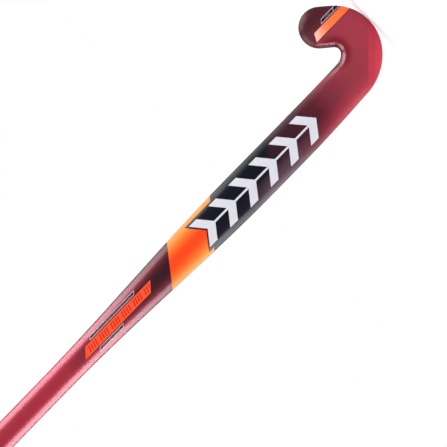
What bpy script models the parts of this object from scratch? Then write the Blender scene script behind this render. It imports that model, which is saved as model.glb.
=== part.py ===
"""An indoor hockey stick: a hollow composite stick with a foam-cored hooked head and a wound grip.

+Z runs from the head to the butt along the line that the stick spans when it lies on its playing
face. The playing face looks to -Y, the toe points to -X, and the origin is the middle of the grip.
Heights in this file are measured from the bottom of the head.
"""

import math

import bmesh
import bpy
import numpy as np
from mathutils import Vector

MM = 0.001

# Overall size and the place where a hand holds the stick
STICK_LENGTH = 927 * MM
HOLD_HEIGHT = 772 * MM

# The hook, as one line through the middle of its width: a slow bend at the neck, two tight
# bends and a straight toe
NECK_BEND_LENGTH = 90 * MM
NECK_BEND_TURN = math.radians(2.1)
HEEL_BEND_RADIUS = 38.8 * MM
HEEL_BEND_TURN = math.radians(47.0)
TOE_BEND_RADIUS = 29.3 * MM
TOE_BEND_TURN = math.radians(90.0)
TOE_STRAIGHT = 14.0 * MM

# The shaft sweeps this far to the heel side over this length above the neck
SWEEP_OFFSET = 2.2 * MM
SWEEP_LENGTH = 300 * MM

# Widths across the playing face
HOOK_WIDTH = 45.4 * MM
SHAFT_WIDTH = 48.0 * MM
HANDLE_WIDTH = 29.5 * MM
NECK_BLEND = 120 * MM
TAPER_START = 205 * MM
TAPER_END = 525 * MM

# Depths from the playing face to the back, and the shape of the section
HEAD_DEPTH = 19.5 * MM
SHAFT_DEPTH = 21.5 * MM
HANDLE_DEPTH = 26.0 * MM
EDGE_ROUND = 6.5 * MM
HANDLE_FLAT = 5.0 * MM
BACK_FULLNESS = 2.3
OVAL_FULLNESS = 2.0

# The bow lifts the middle of the shaft off a table that the playing face lies on
BOW_DEPTH = 22.5 * MM
BOW_START = 72 * MM
BOW_PEAK = 300 * MM

# Layers inside, from the outside in
LAMINATE_WALL = 2.0 * MM
SLEEVE_WALL = 0.8 * MM
TUBE_WALL = 0.9 * MM
FIT_GAP = 0.3 * MM
CORE_TOP = 112 * MM

# Butt end
PLUG_LENGTH = 55 * MM
CAP_STEM_LENGTH = 14 * MM
CAP_FLANGE = 5.0 * MM
CAP_EDGE = 1.2 * MM

# Grip, as layers wound on the bare handle
GRIP_BOTTOM = 622 * MM
UNDERLAY_THICK = 0.6 * MM
WRAP_THICK = 1.5 * MM
WRAP_GROOVE = 0.5 * MM
WRAP_PITCH = 26 * MM
GROOVE_SHARE = 0.14
TAPE_LENGTH = 19 * MM
TAPE_ON_WRAP = 8 * MM
TAPE_THICK = 0.35 * MM

# Printed films laid on the lacquer: thickness, and the cells that let them follow the surface
FILM_THICK = 0.2 * MM
FILM_CELL_ACROSS = 4.0 * MM
FILM_CELL_ALONG = 13 * MM
HEAD_FILM_CELL = 2.5 * MM
FILM_LEAST_CELLS = 3

# Labels on the upper shaft: where each begins, its middle across the shaft, length and breadth
LABEL_LENGTH = 100 * MM
LABEL_BREADTH = 10.0 * MM
LONG_TAG_LENGTH = 68 * MM
SHORT_TAG_LENGTH = 36 * MM
TAG_BREADTH = 4.0 * MM
TAG_MARGIN = 1.2 * MM
LABEL_SLANT = 0.95
LABEL_ACROSS = 0.3 * MM
FACE_LABEL_START = 370 * MM
BACK_LABEL_START = 364.5 * MM
LONG_TAG_SHIFT = 20 * MM
SHORT_TAG_SHIFT = 53 * MM

# The row of chevrons on the middle of the shaft
CHEVRONS = 6
CHEVRON_PITCH = 31 * MM
CHEVRON_STROKE = 11.5 * MM
CHEVRON_SLOPE = 0.8
CHEVRON_MARGIN = 7.0 * MM
CHEVRON_STEM = 1.1 * MM
FACE_CHEVRONS_START = 126 * MM
BACK_CHEVRONS_START = 116 * MM

# Films on the head and neck
NECK_LINE_HEIGHT = 98.5 * MM
NECK_LINE_SLOPE = 0.85
NECK_LINE_REACH = 17 * MM
NECK_LINE_THIN = 1.8 * MM
NECK_LINE_WIDE = 5.0 * MM
TOE_STRIPE_BOTTOM = 12 * MM
TOE_STRIPE_TOP = 57 * MM
TOE_STRIPE_ACROSS = -58.4 * MM
TOE_STRIPE_BREADTH = 8.6 * MM
TOE_STRIPE_POINT = 5.0 * MM
TOE_TAG_BOTTOM = 17 * MM
TOE_TAG_LENGTH = 19 * MM
TOE_TAG_BREADTH = 4.4 * MM
TOE_TAG_MARGIN = 1.3 * MM

# Mesh density
FLAT_STEPS = 4
EDGE_STEPS = 3
BACK_STEPS = 10
SHAFT_STEP_LOW = 17 * MM
SHAFT_STEP_HIGH = 30 * MM
BEND_STEP = math.radians(8.0)
TOE_END_STEPS = 10
LEAST_STEP = 3 * MM
SPINE_SAMPLE = 0.5 * MM


def smooth(value):
    """A 0 to 1 ramp that starts and ends level."""
    t = np.clip(value, 0.0, 1.0)
    return t * t * (3.0 - 2.0 * t)


def blend(low, high, share):
    """The value that is share of the way from low to high."""
    return low + (high - low) * share


class Spine:
    """The line through the middle of the stick's width, with its section at every point.

    run is the distance along the line from the top of the neck: negative up the shaft, positive
    into the hook. lean is the turn of the line from straight down towards the toe.
    """

    def __init__(self):
        self.bends = (
            (NECK_BEND_LENGTH, NECK_BEND_TURN),
            (HEEL_BEND_RADIUS * HEEL_BEND_TURN, HEEL_BEND_TURN),
            (TOE_BEND_RADIUS * TOE_BEND_TURN, TOE_BEND_TURN),
            (TOE_STRAIGHT, 0.0),
        )
        self.hook_length = sum(length for length, _ in self.bends)
        self.neck_height = 0.0
        runs = np.arange(0.0, self.hook_length, SPINE_SAMPLE)
        _, low, lean = self.hook_at(runs)
        outer = low - 0.5 * self.width(runs) * np.sin(lean)
        self.neck_height = -float(outer.min())

    def hook_at(self, runs):
        """Place and lean of points in the hook, bend after bend."""
        runs = np.asarray(runs, float)
        x = np.full(runs.shape, SWEEP_OFFSET)
        height = np.full(runs.shape, self.neck_height)
        lean = np.zeros(runs.shape)
        start = 0.0
        for length, turn in self.bends:
            part = np.clip(runs - start, 0.0, length)
            swing = turn * part / length
            if turn:
                radius = length / turn
                x = x - radius * (np.cos(lean) - np.cos(lean + swing))
                height = height - radius * (np.sin(lean + swing) - np.sin(lean))
            else:
                x = x - part * np.sin(lean)
                height = height - part * np.cos(lean)
            lean = lean + swing
            start += length
        return x, height, lean

    def at(self, runs):
        """Place and lean of points anywhere on the line."""
        runs = np.asarray(runs, float)
        x, height, lean = self.hook_at(np.maximum(runs, 0.0))
        above = runs < 0.0
        x = np.where(above, SWEEP_OFFSET * (1.0 - smooth(-runs / SWEEP_LENGTH)), x)
        height = np.where(above, self.neck_height - runs, height)
        return x, height, lean

    def run_of_height(self, height):
        """How far along the line a height on the shaft is."""
        return self.neck_height - height

    def taper(self, runs):
        """0 in the head and shaft, 1 in the handle."""
        height = self.neck_height - np.minimum(runs, 0.0)
        return 0.5 - 0.5 * np.cos(np.pi * np.clip((height - TAPER_START) / (TAPER_END - TAPER_START), 0, 1))

    def neck_share(self, runs):
        """0 up the shaft, 1 in the hook."""
        return smooth(np.asarray(runs, float) / NECK_BLEND)

    def width(self, runs):
        shaft = blend(SHAFT_WIDTH, HANDLE_WIDTH, self.taper(runs))
        return blend(shaft, HOOK_WIDTH, self.neck_share(runs))

    def depth(self, runs):
        shaft = blend(SHAFT_DEPTH, HANDLE_DEPTH, self.taper(runs))
        return blend(shaft, HEAD_DEPTH, self.neck_share(runs))

    def section(self, runs, offset):
        """Half width, edge run, face depth, back depth and fullness, grown outwards by offset."""
        taper = self.taper(runs)
        half = 0.5 * self.width(runs)
        depth = self.depth(runs)
        face = blend(EDGE_ROUND, 0.5 * depth, taper)
        edge = blend(EDGE_ROUND, half - 0.5 * HANDLE_FLAT, taper)
        fullness = blend(BACK_FULLNESS, OVAL_FULLNESS, taper)
        return half + offset, edge + offset, face + offset, depth - face + offset, fullness

    def face_depth(self, runs):
        """How far the widest part of the section lies behind the playing face."""
        return blend(EDGE_ROUND, 0.5 * self.depth(runs), self.taper(runs))


def bow(height):
    """How far the playing face lies above the table at a height."""
    rise = smooth((height - BOW_START) / (BOW_PEAK - BOW_START))
    share = np.clip((height - BOW_PEAK) / (STICK_LENGTH - BOW_PEAK), 0.0, 1.0)
    fall = 1.0 - 1.5 * share**2 + 0.5 * share**3
    return BOW_DEPTH * np.where(height < BOW_PEAK, rise, fall)


SPINE = Spine()
FACE_PLANE = -float(bow(HOLD_HEIGHT)) - 0.5 * HANDLE_DEPTH


def half_profile(runs, offset):
    """Half of the section from the middle of the face round to the middle of the back.

    The face is flat, its edge is a quarter ellipse, and the back is a superellipse. The result is
    (across, depth) with one row for each run.
    """
    half, edge, face, back, fullness = (np.asarray(v, float)[..., None] for v in SPINE.section(runs, offset))
    flat = np.linspace(0.0, 1.0, FLAT_STEPS // 2 + 1)[:-1]
    turn = np.linspace(0.0, 0.5 * np.pi, EDGE_STEPS + 1)[:-1]
    rise = np.linspace(0.0, 0.5 * np.pi, BACK_STEPS // 2 + 1)
    across = [flat * (half - edge), half - edge + edge * np.sin(turn)]
    depth = [-face + 0.0 * flat, -face * np.cos(turn)]
    across.append(half * np.cos(rise).clip(0.0) ** (2.0 / fullness))
    depth.append(back * np.sin(rise) ** (2.0 / fullness))
    across = np.concatenate([np.broadcast_to(v, half.shape[:-1] + v.shape[-1:]) for v in across], axis=-1)
    depth = np.concatenate([np.broadcast_to(v, half.shape[:-1] + v.shape[-1:]) for v in depth], axis=-1)
    return across, depth


def world(x, depth, height, face_depth):
    """World points of a section's points: its face rests on the bowed line of the playing face."""
    y = FACE_PLANE + bow(height) + face_depth + depth
    return np.stack(np.broadcast_arrays(x, y, height - HOLD_HEIGHT), axis=-1)


def full_loops(runs, offset):
    """Whole sections as loops of points: up the heel side, then back down the toe side."""
    runs = np.asarray(runs, float)
    across, depth = half_profile(runs, offset)
    across = np.concatenate([across, -across[..., -2:0:-1]], axis=-1)
    depth = np.concatenate([depth, depth[..., -2:0:-1]], axis=-1)
    x, height, lean = (v[..., None] for v in SPINE.at(runs))
    place = x + across * np.cos(lean), height - across * np.sin(lean)
    return world(place[0], depth, place[1], SPINE.face_depth(runs)[..., None])


def toe_loops(offset):
    """Half sections turned about the end of the line, from the outer edge round to the inner one."""
    run = SPINE.hook_length
    across, depth = half_profile(np.array(run), offset)
    x, height, lean = SPINE.at(run)
    swing = (np.pi * np.arange(1, TOE_END_STEPS) / TOE_END_STEPS)[:, None]
    side = across[1:-1] * np.cos(lean + swing)
    down = across[1:-1] * np.sin(lean + swing)
    return world(x + side, depth[1:-1], height - down, SPINE.face_depth(run))


def stations(first, last):
    """Runs of the sections from first down to last, close together where the stick bends most."""
    middle = SPINE.run_of_height(BOW_PEAK)
    top = SPINE.run_of_height(STICK_LENGTH)
    runs = [np.arange(top, middle, SHAFT_STEP_HIGH), np.arange(middle, 0.0, SHAFT_STEP_LOW)]
    start = 0.0
    for length, turn in SPINE.bends:
        steps = math.ceil(max(turn / BEND_STEP, length / SHAFT_STEP_LOW))
        runs.append(start + length * np.arange(steps) / steps)
        start += length
    runs = np.concatenate(runs)
    inside = runs[(runs > first + LEAST_STEP) & (runs < last - LEAST_STEP)]
    return np.concatenate([[first], inside, [last]])


def link_loops(first, second, count):
    """Quads between two loops of vertex numbers that start at first and second."""
    return [
        (first + k, first + (k + 1) % count, second + (k + 1) % count, second + k)
        for k in range(count)
    ]


def blind_skin(top, offset, start=0):
    """The stick's skin at an offset, from a height down round the hook to the closed toe.

    Returns points, faces and the number of points in a loop. The first loop is open.
    """
    runs = stations(SPINE.run_of_height(top), SPINE.hook_length)
    loops = full_loops(runs, offset)
    rows, count, _ = loops.shape
    faces = []
    for row in range(rows - 1):
        faces += link_loops(start + row * count, start + (row + 1) * count, count)
    fans = toe_loops(offset)
    last = start + (rows - 1) * count
    back_pole = count // 2
    heel_half = [last + k for k in range(1, back_pole)]
    toe_half = [last + count - k for k in range(1, back_pole)]
    first_fan = start + rows * count
    half_count = back_pole - 1
    arcs = [heel_half]
    arcs += [[first_fan + arc * half_count + k for k in range(half_count)] for arc in range(len(fans))]
    arcs.append(toe_half)
    for near, far in zip(arcs, arcs[1:]):
        faces.append((last, near[0], far[0]))
        faces += [(near[k], near[k + 1], far[k + 1], far[k]) for k in range(half_count - 1)]
        faces.append((near[-1], last + back_pole, far[-1]))
    points = np.concatenate([loops.reshape(-1, 3), fans.reshape(-1, 3)])
    return points, faces, count


def plain_material(name, colour, roughness, metallic=0.0):
    """A Principled material with a plain colour."""
    material = bpy.data.materials.new(name)
    material.use_nodes = True
    shader = material.node_tree.nodes["Principled BSDF"]
    shader.inputs["Base Color"].default_value = (*colour, 1.0)
    shader.inputs["Roughness"].default_value = roughness
    shader.inputs["Metallic"].default_value = metallic
    return material


def add_object(name, points, faces, material):
    """A named object from points and faces, cleaned, with its faces pointing out."""
    mesh = bpy.data.meshes.new(name)
    mesh.from_pydata([tuple(p) for p in np.asarray(points).tolist()], [], faces)
    shape = bmesh.new()
    shape.from_mesh(mesh)
    bmesh.ops.remove_doubles(shape, verts=shape.verts, dist=1e-6)
    bmesh.ops.recalc_face_normals(shape, faces=shape.faces)
    shape.to_mesh(mesh)
    shape.free()
    mesh.shade_smooth()
    mesh.set_sharp_from_angle(angle=math.radians(35.0))
    mesh.materials.append(material)
    obj = bpy.data.objects.new(name, mesh)
    bpy.context.scene.collection.objects.link(obj)
    return obj


def add_pocket(name, top, outer_offset, inner_offset, material):
    """A blind sleeve that follows the stick: an outer and an inner skin joined by a rim at the top."""
    outer, outer_faces, count = blind_skin(top, outer_offset)
    inner, inner_faces, _ = blind_skin(top, inner_offset, start=len(outer))
    rim = link_loops(0, len(outer), count)
    faces = outer_faces + [face[::-1] for face in inner_faces] + [face[::-1] for face in rim]
    return add_object(name, np.concatenate([outer, inner]), faces, material)


def add_core(name, top, offset, material):
    """A solid that fills the stick from the toe up to a height."""
    points, faces, count = blind_skin(top, offset)
    faces.append(tuple(range(count))[::-1])
    return add_object(name, points, faces, material)


def ring_faces(rows, count, closed):
    """Quads that join rows of points. closed joins the last row to the first, as on a ring."""
    faces = []
    for row in range(rows if closed else rows - 1):
        faces += link_loops(row * count, (row + 1) % rows * count, count)
    if not closed:
        faces.append(tuple(range(count))[::-1])
        faces.append(tuple(range((rows - 1) * count, rows * count)))
    return faces


def handle_loops(outline):
    """Sections of the handle at each (height, offset) of an outline."""
    heights, offsets = np.array(outline, float).T
    loops = [full_loops(SPINE.run_of_height(h), o) for h, o in zip(heights, offsets)]
    return np.array(loops)


def add_oval(name, outline, material, closed=False):
    """A turned-like solid with the handle's oval section, from an outline of heights and offsets."""
    loops = handle_loops(outline)
    rows, count, _ = loops.shape
    return add_object(name, loops.reshape(-1, 3), ring_faces(rows, count, closed), material)


def sleeve_outline(bottom, top, inside, outside):
    """The outline of a sleeve that follows the handle: up its inside and down its outside."""
    heights = np.linspace(bottom, top, max(2, math.ceil((top - bottom) / SHAFT_STEP_HIGH)) + 1)
    return [(h, inside) for h in heights] + [(h, outside) for h in heights[::-1]]


def web_loops(runs, offset, web):
    """Sections of one inner tube: half of the stick's section, closed by a flat web in the middle."""
    across, depth = half_profile(runs, offset)
    keep = across[0] > web
    across, depth = across[:, keep], depth[:, keep]
    web_line = np.full((len(runs), 1), web)
    across = np.concatenate([web_line, across, web_line], axis=1)
    depth = np.concatenate([depth[:, :1], depth, depth[:, -1:]], axis=1)
    return across, depth


def add_inner_tube(name, side, bottom, top, material):
    """One of the two tubes inside the shaft, open at both ends. side is 1 at the heel, -1 at the toe."""
    runs = stations(SPINE.run_of_height(top), SPINE.run_of_height(bottom))
    outside = -(LAMINATE_WALL + FIT_GAP)
    x, height, lean = (v[:, None] for v in SPINE.at(runs))
    rows = []
    for offset, web in ((outside, 0.5 * FIT_GAP), (outside - TUBE_WALL, 0.5 * FIT_GAP + TUBE_WALL)):
        across, depth = web_loops(runs, offset, web)
        place = x + side * across * np.cos(lean), height - side * across * np.sin(lean)
        rows.append(world(place[0], depth, place[1], SPINE.face_depth(runs)[:, None]))
    loops = np.concatenate([rows[0], rows[1][::-1]])
    total, count, _ = loops.shape
    return add_object(name, loops.reshape(-1, 3), ring_faces(total, count, True), material)


def wrap_relief(phase):
    """How deep the wound tape's surface lies below its crown at a phase of its pitch."""
    edge = np.minimum(phase, 1.0 - phase) / GROOVE_SHARE
    return WRAP_GROOVE * (1.0 - np.clip(edge, 0.0, 1.0))


def add_wrap(name, bottom, top, inside, material):
    """The grip: one tape wound up the handle, with a groove where each turn meets the next.

    Rows of points climb with the tape, and rows past an end are pressed flat onto it.
    """
    sides = 2 * (FLAT_STEPS // 2 + EDGE_STEPS + BACK_STEPS // 2)
    column = np.arange(sides)
    phases = np.array([0.0, GROOVE_SHARE, 1.0 - GROOVE_SHARE])
    turns = math.ceil((top - bottom) / WRAP_PITCH) + 1
    climb = (np.arange(-1, turns)[:, None] + phases).reshape(-1, 1) + column / sides
    heights = np.clip(bottom + climb * WRAP_PITCH, bottom, top)
    phase = np.round((heights - bottom) / WRAP_PITCH - column / sides, 9) % 1.0
    edge = np.clip(np.minimum(phase, 1.0 - phase) / GROOVE_SHARE, 0.0, 1.0)
    outside = inside + WRAP_THICK - WRAP_GROOVE * (1.0 - edge)
    outer = full_loops(SPINE.run_of_height(heights), outside)[:, column, column]
    levels = np.linspace(top, bottom, max(2, math.ceil((top - bottom) / SHAFT_STEP_HIGH)) + 1)
    inner = full_loops(SPINE.run_of_height(levels), inside)
    rows = len(outer)

    def number(row, side):
        """The vertex at a row and side. Past the last side a row goes on one turn higher."""
        return min(row + len(phases) * (side // sides), rows - 1) * sides + side % sides

    faces = [
        (number(row, side), number(row, side + 1), number(row + 1, side + 1), number(row + 1, side))
        for row in range(rows - 1)
        for side in range(sides)
    ]
    for row in range(rows - 1, rows + len(inner) - 1):
        faces += link_loops(row * sides, (row + 1) * sides, sides)
    faces += link_loops((rows + len(inner) - 1) * sides, 0, sides)
    return add_object(name, np.concatenate([outer, inner]).reshape(-1, 3), faces, material)


class Skin:
    """The stick's lacquered surface, read at places on its playing face or its back."""

    def __init__(self):
        self.runs = np.arange(SPINE.run_of_height(STICK_LENGTH), SPINE.hook_length, SPINE_SAMPLE)
        self.x, self.height, self.lean = SPINE.at(self.runs)

    def depth(self, x, height, side):
        """World Y of the surface at a place. side is -1 for the playing face and 1 for the back."""
        gap = np.hypot(x[:, None] - self.x, height[:, None] - self.height)
        near = np.argmin(gap, axis=1)
        lean = self.lean[near]
        along = -(x - self.x[near]) * np.sin(lean) - (height - self.height[near]) * np.cos(lean)
        across = (x - self.x[near]) * np.cos(lean) - (height - self.height[near]) * np.sin(lean)
        run = np.clip(self.runs[near] + along, self.runs[0], SPINE.hook_length)
        across = np.where(near == len(self.runs) - 1, gap.min(axis=1), np.abs(across))
        half, edge, face, back, fullness = SPINE.section(run, 0.0)
        past_flat = np.clip((across - (half - edge)) / edge, 0.0, 1.0)
        face_depth = -face * np.sqrt(1.0 - past_flat**2)
        back_depth = back * (1.0 - np.clip(across / half, 0.0, 1.0) ** fullness) ** (1.0 / fullness)
        depth = face_depth if side < 0 else back_depth
        return FACE_PLANE + bow(height) + SPINE.face_depth(run) + depth

    def lifted(self, x, height, side, lift):
        """World points that lie lift above the surface, along its normal."""
        step = 0.2 * MM
        y = self.depth(x, height, side)
        slope_x = (self.depth(x + step, height, side) - self.depth(x - step, height, side)) / (2 * step)
        slope_z = (self.depth(x, height + step, side) - self.depth(x, height - step, side)) / (2 * step)
        normal = side * np.stack([-slope_x, np.ones_like(y), -slope_z], axis=1)
        normal /= np.linalg.norm(normal, axis=1)[:, None]
        return np.stack([x, y, height - HOLD_HEIGHT], axis=1) + lift * normal


SKIN = Skin()


def cut_outline(outline, along):
    """A flat outline of (x, height) points cut into cells small enough to bend over the surface."""
    flat = bmesh.new()
    flat.faces.new([flat.verts.new((x, 0.0, height)) for x, height in outline])
    places = np.array(outline)
    ways = ((0, Vector((1, 0, 0)), FILM_CELL_ACROSS), (1, Vector((0, 0, 1)), along))
    for axis, normal, cell in ways:
        low, high = places[:, axis].min(), places[:, axis].max()
        cells = max(FILM_LEAST_CELLS, math.ceil((high - low) / cell))
        for cut in np.linspace(low, high, cells + 1)[1:-1]:
            geometry = flat.verts[:] + flat.edges[:] + flat.faces[:]
            bmesh.ops.bisect_plane(flat, geom=geometry, dist=1e-6, plane_co=normal * cut, plane_no=normal)
    bmesh.ops.triangulate(flat, faces=flat.faces[:])
    flat.verts.index_update()
    points = np.array([vert.co[:] for vert in flat.verts])
    faces = [tuple(vert.index for vert in face.verts) for face in flat.faces]
    rim = []
    for edge in flat.edges:
        if edge.is_boundary:
            loop = edge.link_loops[0]
            rim.append((loop.vert.index, loop.link_loop_next.vert.index))
    flat.free()
    return points[:, 0], points[:, 2], faces, rim


def add_film(name, outline, side, material, along=FILM_CELL_ALONG):
    """A thin printed film with an outline of (x, height) points, laid over the stick's surface."""
    x, height, faces, rim = cut_outline(outline, along)
    under = SKIN.lifted(x, height, side, FIT_GAP)
    over = SKIN.lifted(x, height, side, FIT_GAP + FILM_THICK)
    count = len(x)
    shell = [face[::-1] for face in faces]
    shell += [tuple(count + index for index in face) for face in faces]
    shell += [(first, second, count + second, count + first) for first, second in rim]
    return add_object(name, np.concatenate([under, over]), shell, material)


def slanted_bar(start, length, across, breadth, slant):
    """A parallelogram along the shaft. Its heel edge is moved up by slant times the breadth."""
    low, high = across - 0.5 * breadth, across + 0.5 * breadth
    rise = slant * breadth
    return [(low, start), (high, start + rise), (high, start + rise + length), (low, start + length)]


def chevron_row(start):
    """A row of chevrons that point to the head, threaded on a thin stem, as one outline.

    Each arm ends the same margin inside the edge of the shaft, which narrows up its length.
    """
    half = []
    for index in range(CHEVRONS):
        foot = start + index * CHEVRON_PITCH
        reach = 0.5 * float(SPINE.width(SPINE.run_of_height(foot + CHEVRON_STROKE))) - CHEVRON_MARGIN
        near = foot + CHEVRON_SLOPE * CHEVRON_STEM
        far = foot + CHEVRON_SLOPE * reach
        half.append((CHEVRON_STEM, near))
        half.append((reach, far))
        half.append((reach, far + CHEVRON_STROKE))
        half.append((CHEVRON_STEM, near + CHEVRON_STROKE))
    tip = (0.0, start)
    tail = (0.0, start + (CHEVRONS - 1) * CHEVRON_PITCH + CHEVRON_STROKE)
    mirrored = [(-across, height) for across, height in reversed(half)]
    outline = np.array([tip] + half + [tail] + mirrored)
    middle, _, _ = SPINE.at(SPINE.run_of_height(outline[:, 1]))
    return [(float(x), float(h)) for x, h in zip(outline[:, 0] + middle, outline[:, 1])]


def add_side_films(prefix, side, label_start, chevrons_start, finishes):
    """The films that one side of the shaft carries: its chevrons, its label and two small tags."""
    reach = 0.5 * (LABEL_BREADTH + TAG_BREADTH) + TAG_MARGIN
    label = slanted_bar(label_start, LABEL_LENGTH, LABEL_ACROSS, LABEL_BREADTH, LABEL_SLANT)
    long_start, short_start = label_start + LONG_TAG_SHIFT, label_start + SHORT_TAG_SHIFT
    long_tag = slanted_bar(long_start, LONG_TAG_LENGTH, LABEL_ACROSS - reach, TAG_BREADTH, LABEL_SLANT)
    short_tag = slanted_bar(short_start, SHORT_TAG_LENGTH, LABEL_ACROSS + reach, TAG_BREADTH, LABEL_SLANT)
    add_film(prefix + "_chevron_film", chevron_row(chevrons_start), side, finishes["white_film"])
    add_film(prefix + "_label_film", label, side, finishes["orange_film"])
    add_film(prefix + "_long_tag_film", long_tag, side, finishes["dark_film"])
    add_film(prefix + "_short_tag_film", short_tag, side, finishes["dark_film"])


def add_head_films(finishes):
    """The line across the neck on the playing face, and the stripe and tag on the back of the toe."""
    middle, _, _ = SPINE.at(SPINE.run_of_height(NECK_LINE_HEIGHT))
    reach, rise = NECK_LINE_REACH, NECK_LINE_SLOPE * NECK_LINE_REACH
    low, high = float(middle) - reach, float(middle) + reach
    line = [
        (low, NECK_LINE_HEIGHT - rise),
        (high, NECK_LINE_HEIGHT + rise),
        (high, NECK_LINE_HEIGHT + rise + NECK_LINE_WIDE),
        (low, NECK_LINE_HEIGHT - rise + NECK_LINE_THIN),
    ]
    add_film("neck_line_film", line, -1, finishes["maroon_film"])
    left = TOE_STRIPE_ACROSS - 0.5 * TOE_STRIPE_BREADTH
    right = TOE_STRIPE_ACROSS + 0.5 * TOE_STRIPE_BREADTH
    stripe = [
        (left, TOE_STRIPE_BOTTOM),
        (right, TOE_STRIPE_BOTTOM),
        (right, TOE_STRIPE_TOP),
        (left, TOE_STRIPE_TOP - TOE_STRIPE_POINT),
    ]
    add_film("toe_stripe_film", stripe, 1, finishes["orange_film"], along=HEAD_FILM_CELL)
    tag_middle = left - TOE_TAG_MARGIN - 0.5 * TOE_TAG_BREADTH
    tag = slanted_bar(TOE_TAG_BOTTOM, TOE_TAG_LENGTH, tag_middle, TOE_TAG_BREADTH, LABEL_SLANT)
    add_film("toe_tag_film", tag, 1, finishes["dark_film"], along=HEAD_FILM_CELL)


def add_body(finishes):
    """The moulded laminate with what it holds: foam head, its sleeve, two tubes and the butt plug."""
    inside = -(LAMINATE_WALL + FIT_GAP)
    in_sleeve = inside - SLEEVE_WALL - FIT_GAP
    flange_bottom = STICK_LENGTH - CAP_FLANGE
    plug_top = flange_bottom - CAP_STEM_LENGTH - FIT_GAP
    plug_bottom = plug_top - PLUG_LENGTH
    tube_bottom, tube_top = CORE_TOP + FIT_GAP, plug_bottom - FIT_GAP
    add_pocket("outer_laminate", flange_bottom - FIT_GAP, 0.0, -LAMINATE_WALL, finishes["lacquer"])
    add_pocket("core_sleeve", CORE_TOP, inside, inside - SLEEVE_WALL, finishes["aramid"])
    add_core("head_core", CORE_TOP, in_sleeve, finishes["foam"])
    add_inner_tube("heel_side_tube", 1, tube_bottom, tube_top, finishes["carbon"])
    add_inner_tube("toe_side_tube", -1, tube_bottom, tube_top, finishes["carbon"])
    add_oval("butt_plug", [(plug_bottom, inside), (plug_top, inside)], finishes["wood"])


def add_grip(finishes):
    """The end cap and the layers wound on the handle."""
    stem = -(LAMINATE_WALL + FIT_GAP)
    flange_bottom = STICK_LENGTH - CAP_FLANGE
    under_wrap = 2 * FIT_GAP + UNDERLAY_THICK
    crown = under_wrap + WRAP_THICK
    grip_top = flange_bottom - FIT_GAP
    cap = [
        (flange_bottom - CAP_STEM_LENGTH, stem),
        (flange_bottom, stem),
        (flange_bottom, crown),
        (STICK_LENGTH - CAP_EDGE, crown),
        (STICK_LENGTH, crown - CAP_EDGE),
    ]
    add_oval("end_cap", cap, finishes["cap_rubber"])
    underlay = sleeve_outline(GRIP_BOTTOM, grip_top, FIT_GAP, FIT_GAP + UNDERLAY_THICK)
    add_oval("grip_underlay", underlay, finishes["underlay"], closed=True)
    add_wrap("grip_wrap", GRIP_BOTTOM, grip_top, under_wrap, finishes["grip"])
    step = GRIP_BOTTOM - FIT_GAP
    on_wrap = crown + FIT_GAP
    tape_bottom, tape_top = GRIP_BOTTOM + TAPE_ON_WRAP - TAPE_LENGTH, GRIP_BOTTOM + TAPE_ON_WRAP
    tape = [
        (tape_bottom, FIT_GAP),
        (step, FIT_GAP),
        (step, on_wrap),
        (tape_top, on_wrap),
        (tape_top, on_wrap + TAPE_THICK),
        (step - TAPE_THICK, on_wrap + TAPE_THICK),
        (step - TAPE_THICK, FIT_GAP + TAPE_THICK),
        (tape_bottom, FIT_GAP + TAPE_THICK),
    ]
    add_oval("finishing_tape", tape, finishes["tape"], closed=True)


def make_finishes():
    """One material for each finish of the stick."""
    return {
        "lacquer": plain_material("lacquered laminate", (0.10, 0.015, 0.025), 0.30),
        "aramid": plain_material("aramid sleeve", (0.55, 0.42, 0.10), 0.65),
        "foam": plain_material("structural foam", (0.75, 0.68, 0.50), 0.85),
        "carbon": plain_material("carbon tube", (0.03, 0.03, 0.035), 0.40),
        "wood": plain_material("wooden plug", (0.50, 0.34, 0.18), 0.60),
        "cap_rubber": plain_material("cap rubber", (0.02, 0.02, 0.022), 0.60),
        "underlay": plain_material("underlay tape", (0.60, 0.60, 0.58), 0.80),
        "grip": plain_material("grip tape", (0.02, 0.02, 0.025), 0.70),
        "tape": plain_material("finishing tape", (0.015, 0.015, 0.018), 0.45),
        "white_film": plain_material("white film", (0.78, 0.79, 0.84), 0.35),
        "orange_film": plain_material("orange film", (1.0, 0.10, 0.02), 0.35),
        "dark_film": plain_material("dark film", (0.03, 0.025, 0.03), 0.35),
        "maroon_film": plain_material("maroon film", (0.12, 0.03, 0.05), 0.35),
    }


def main():
    for obj in list(bpy.data.objects):
        bpy.data.objects.remove(obj, do_unlink=True)
    finishes = make_finishes()
    add_body(finishes)
    add_grip(finishes)
    add_side_films("face", -1, FACE_LABEL_START, FACE_CHEVRONS_START, finishes)
    add_side_films("back", 1, BACK_LABEL_START, BACK_CHEVRONS_START, finishes)
    add_head_films(finishes)


main()
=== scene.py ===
"""A composite indoor hockey stick, dressed for a plain studio.

The stick stands head down. +Z runs from the head to the butt, the flat playing face looks to -Y,
the rounded back to +Y, the toe of the hook points to -X, and the origin is the middle of the
grip. Heights are measured from the bottom of the head. Every surface is worked out from the
stick's own line and section, so paint, films and grip follow one another exactly.
"""

import logging
import math
from collections.abc import Callable
from dataclasses import dataclass, field
from enum import Enum
from functools import cached_property

import bmesh
import bpy
import numpy as np
from mathutils import Matrix, Vector


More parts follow.
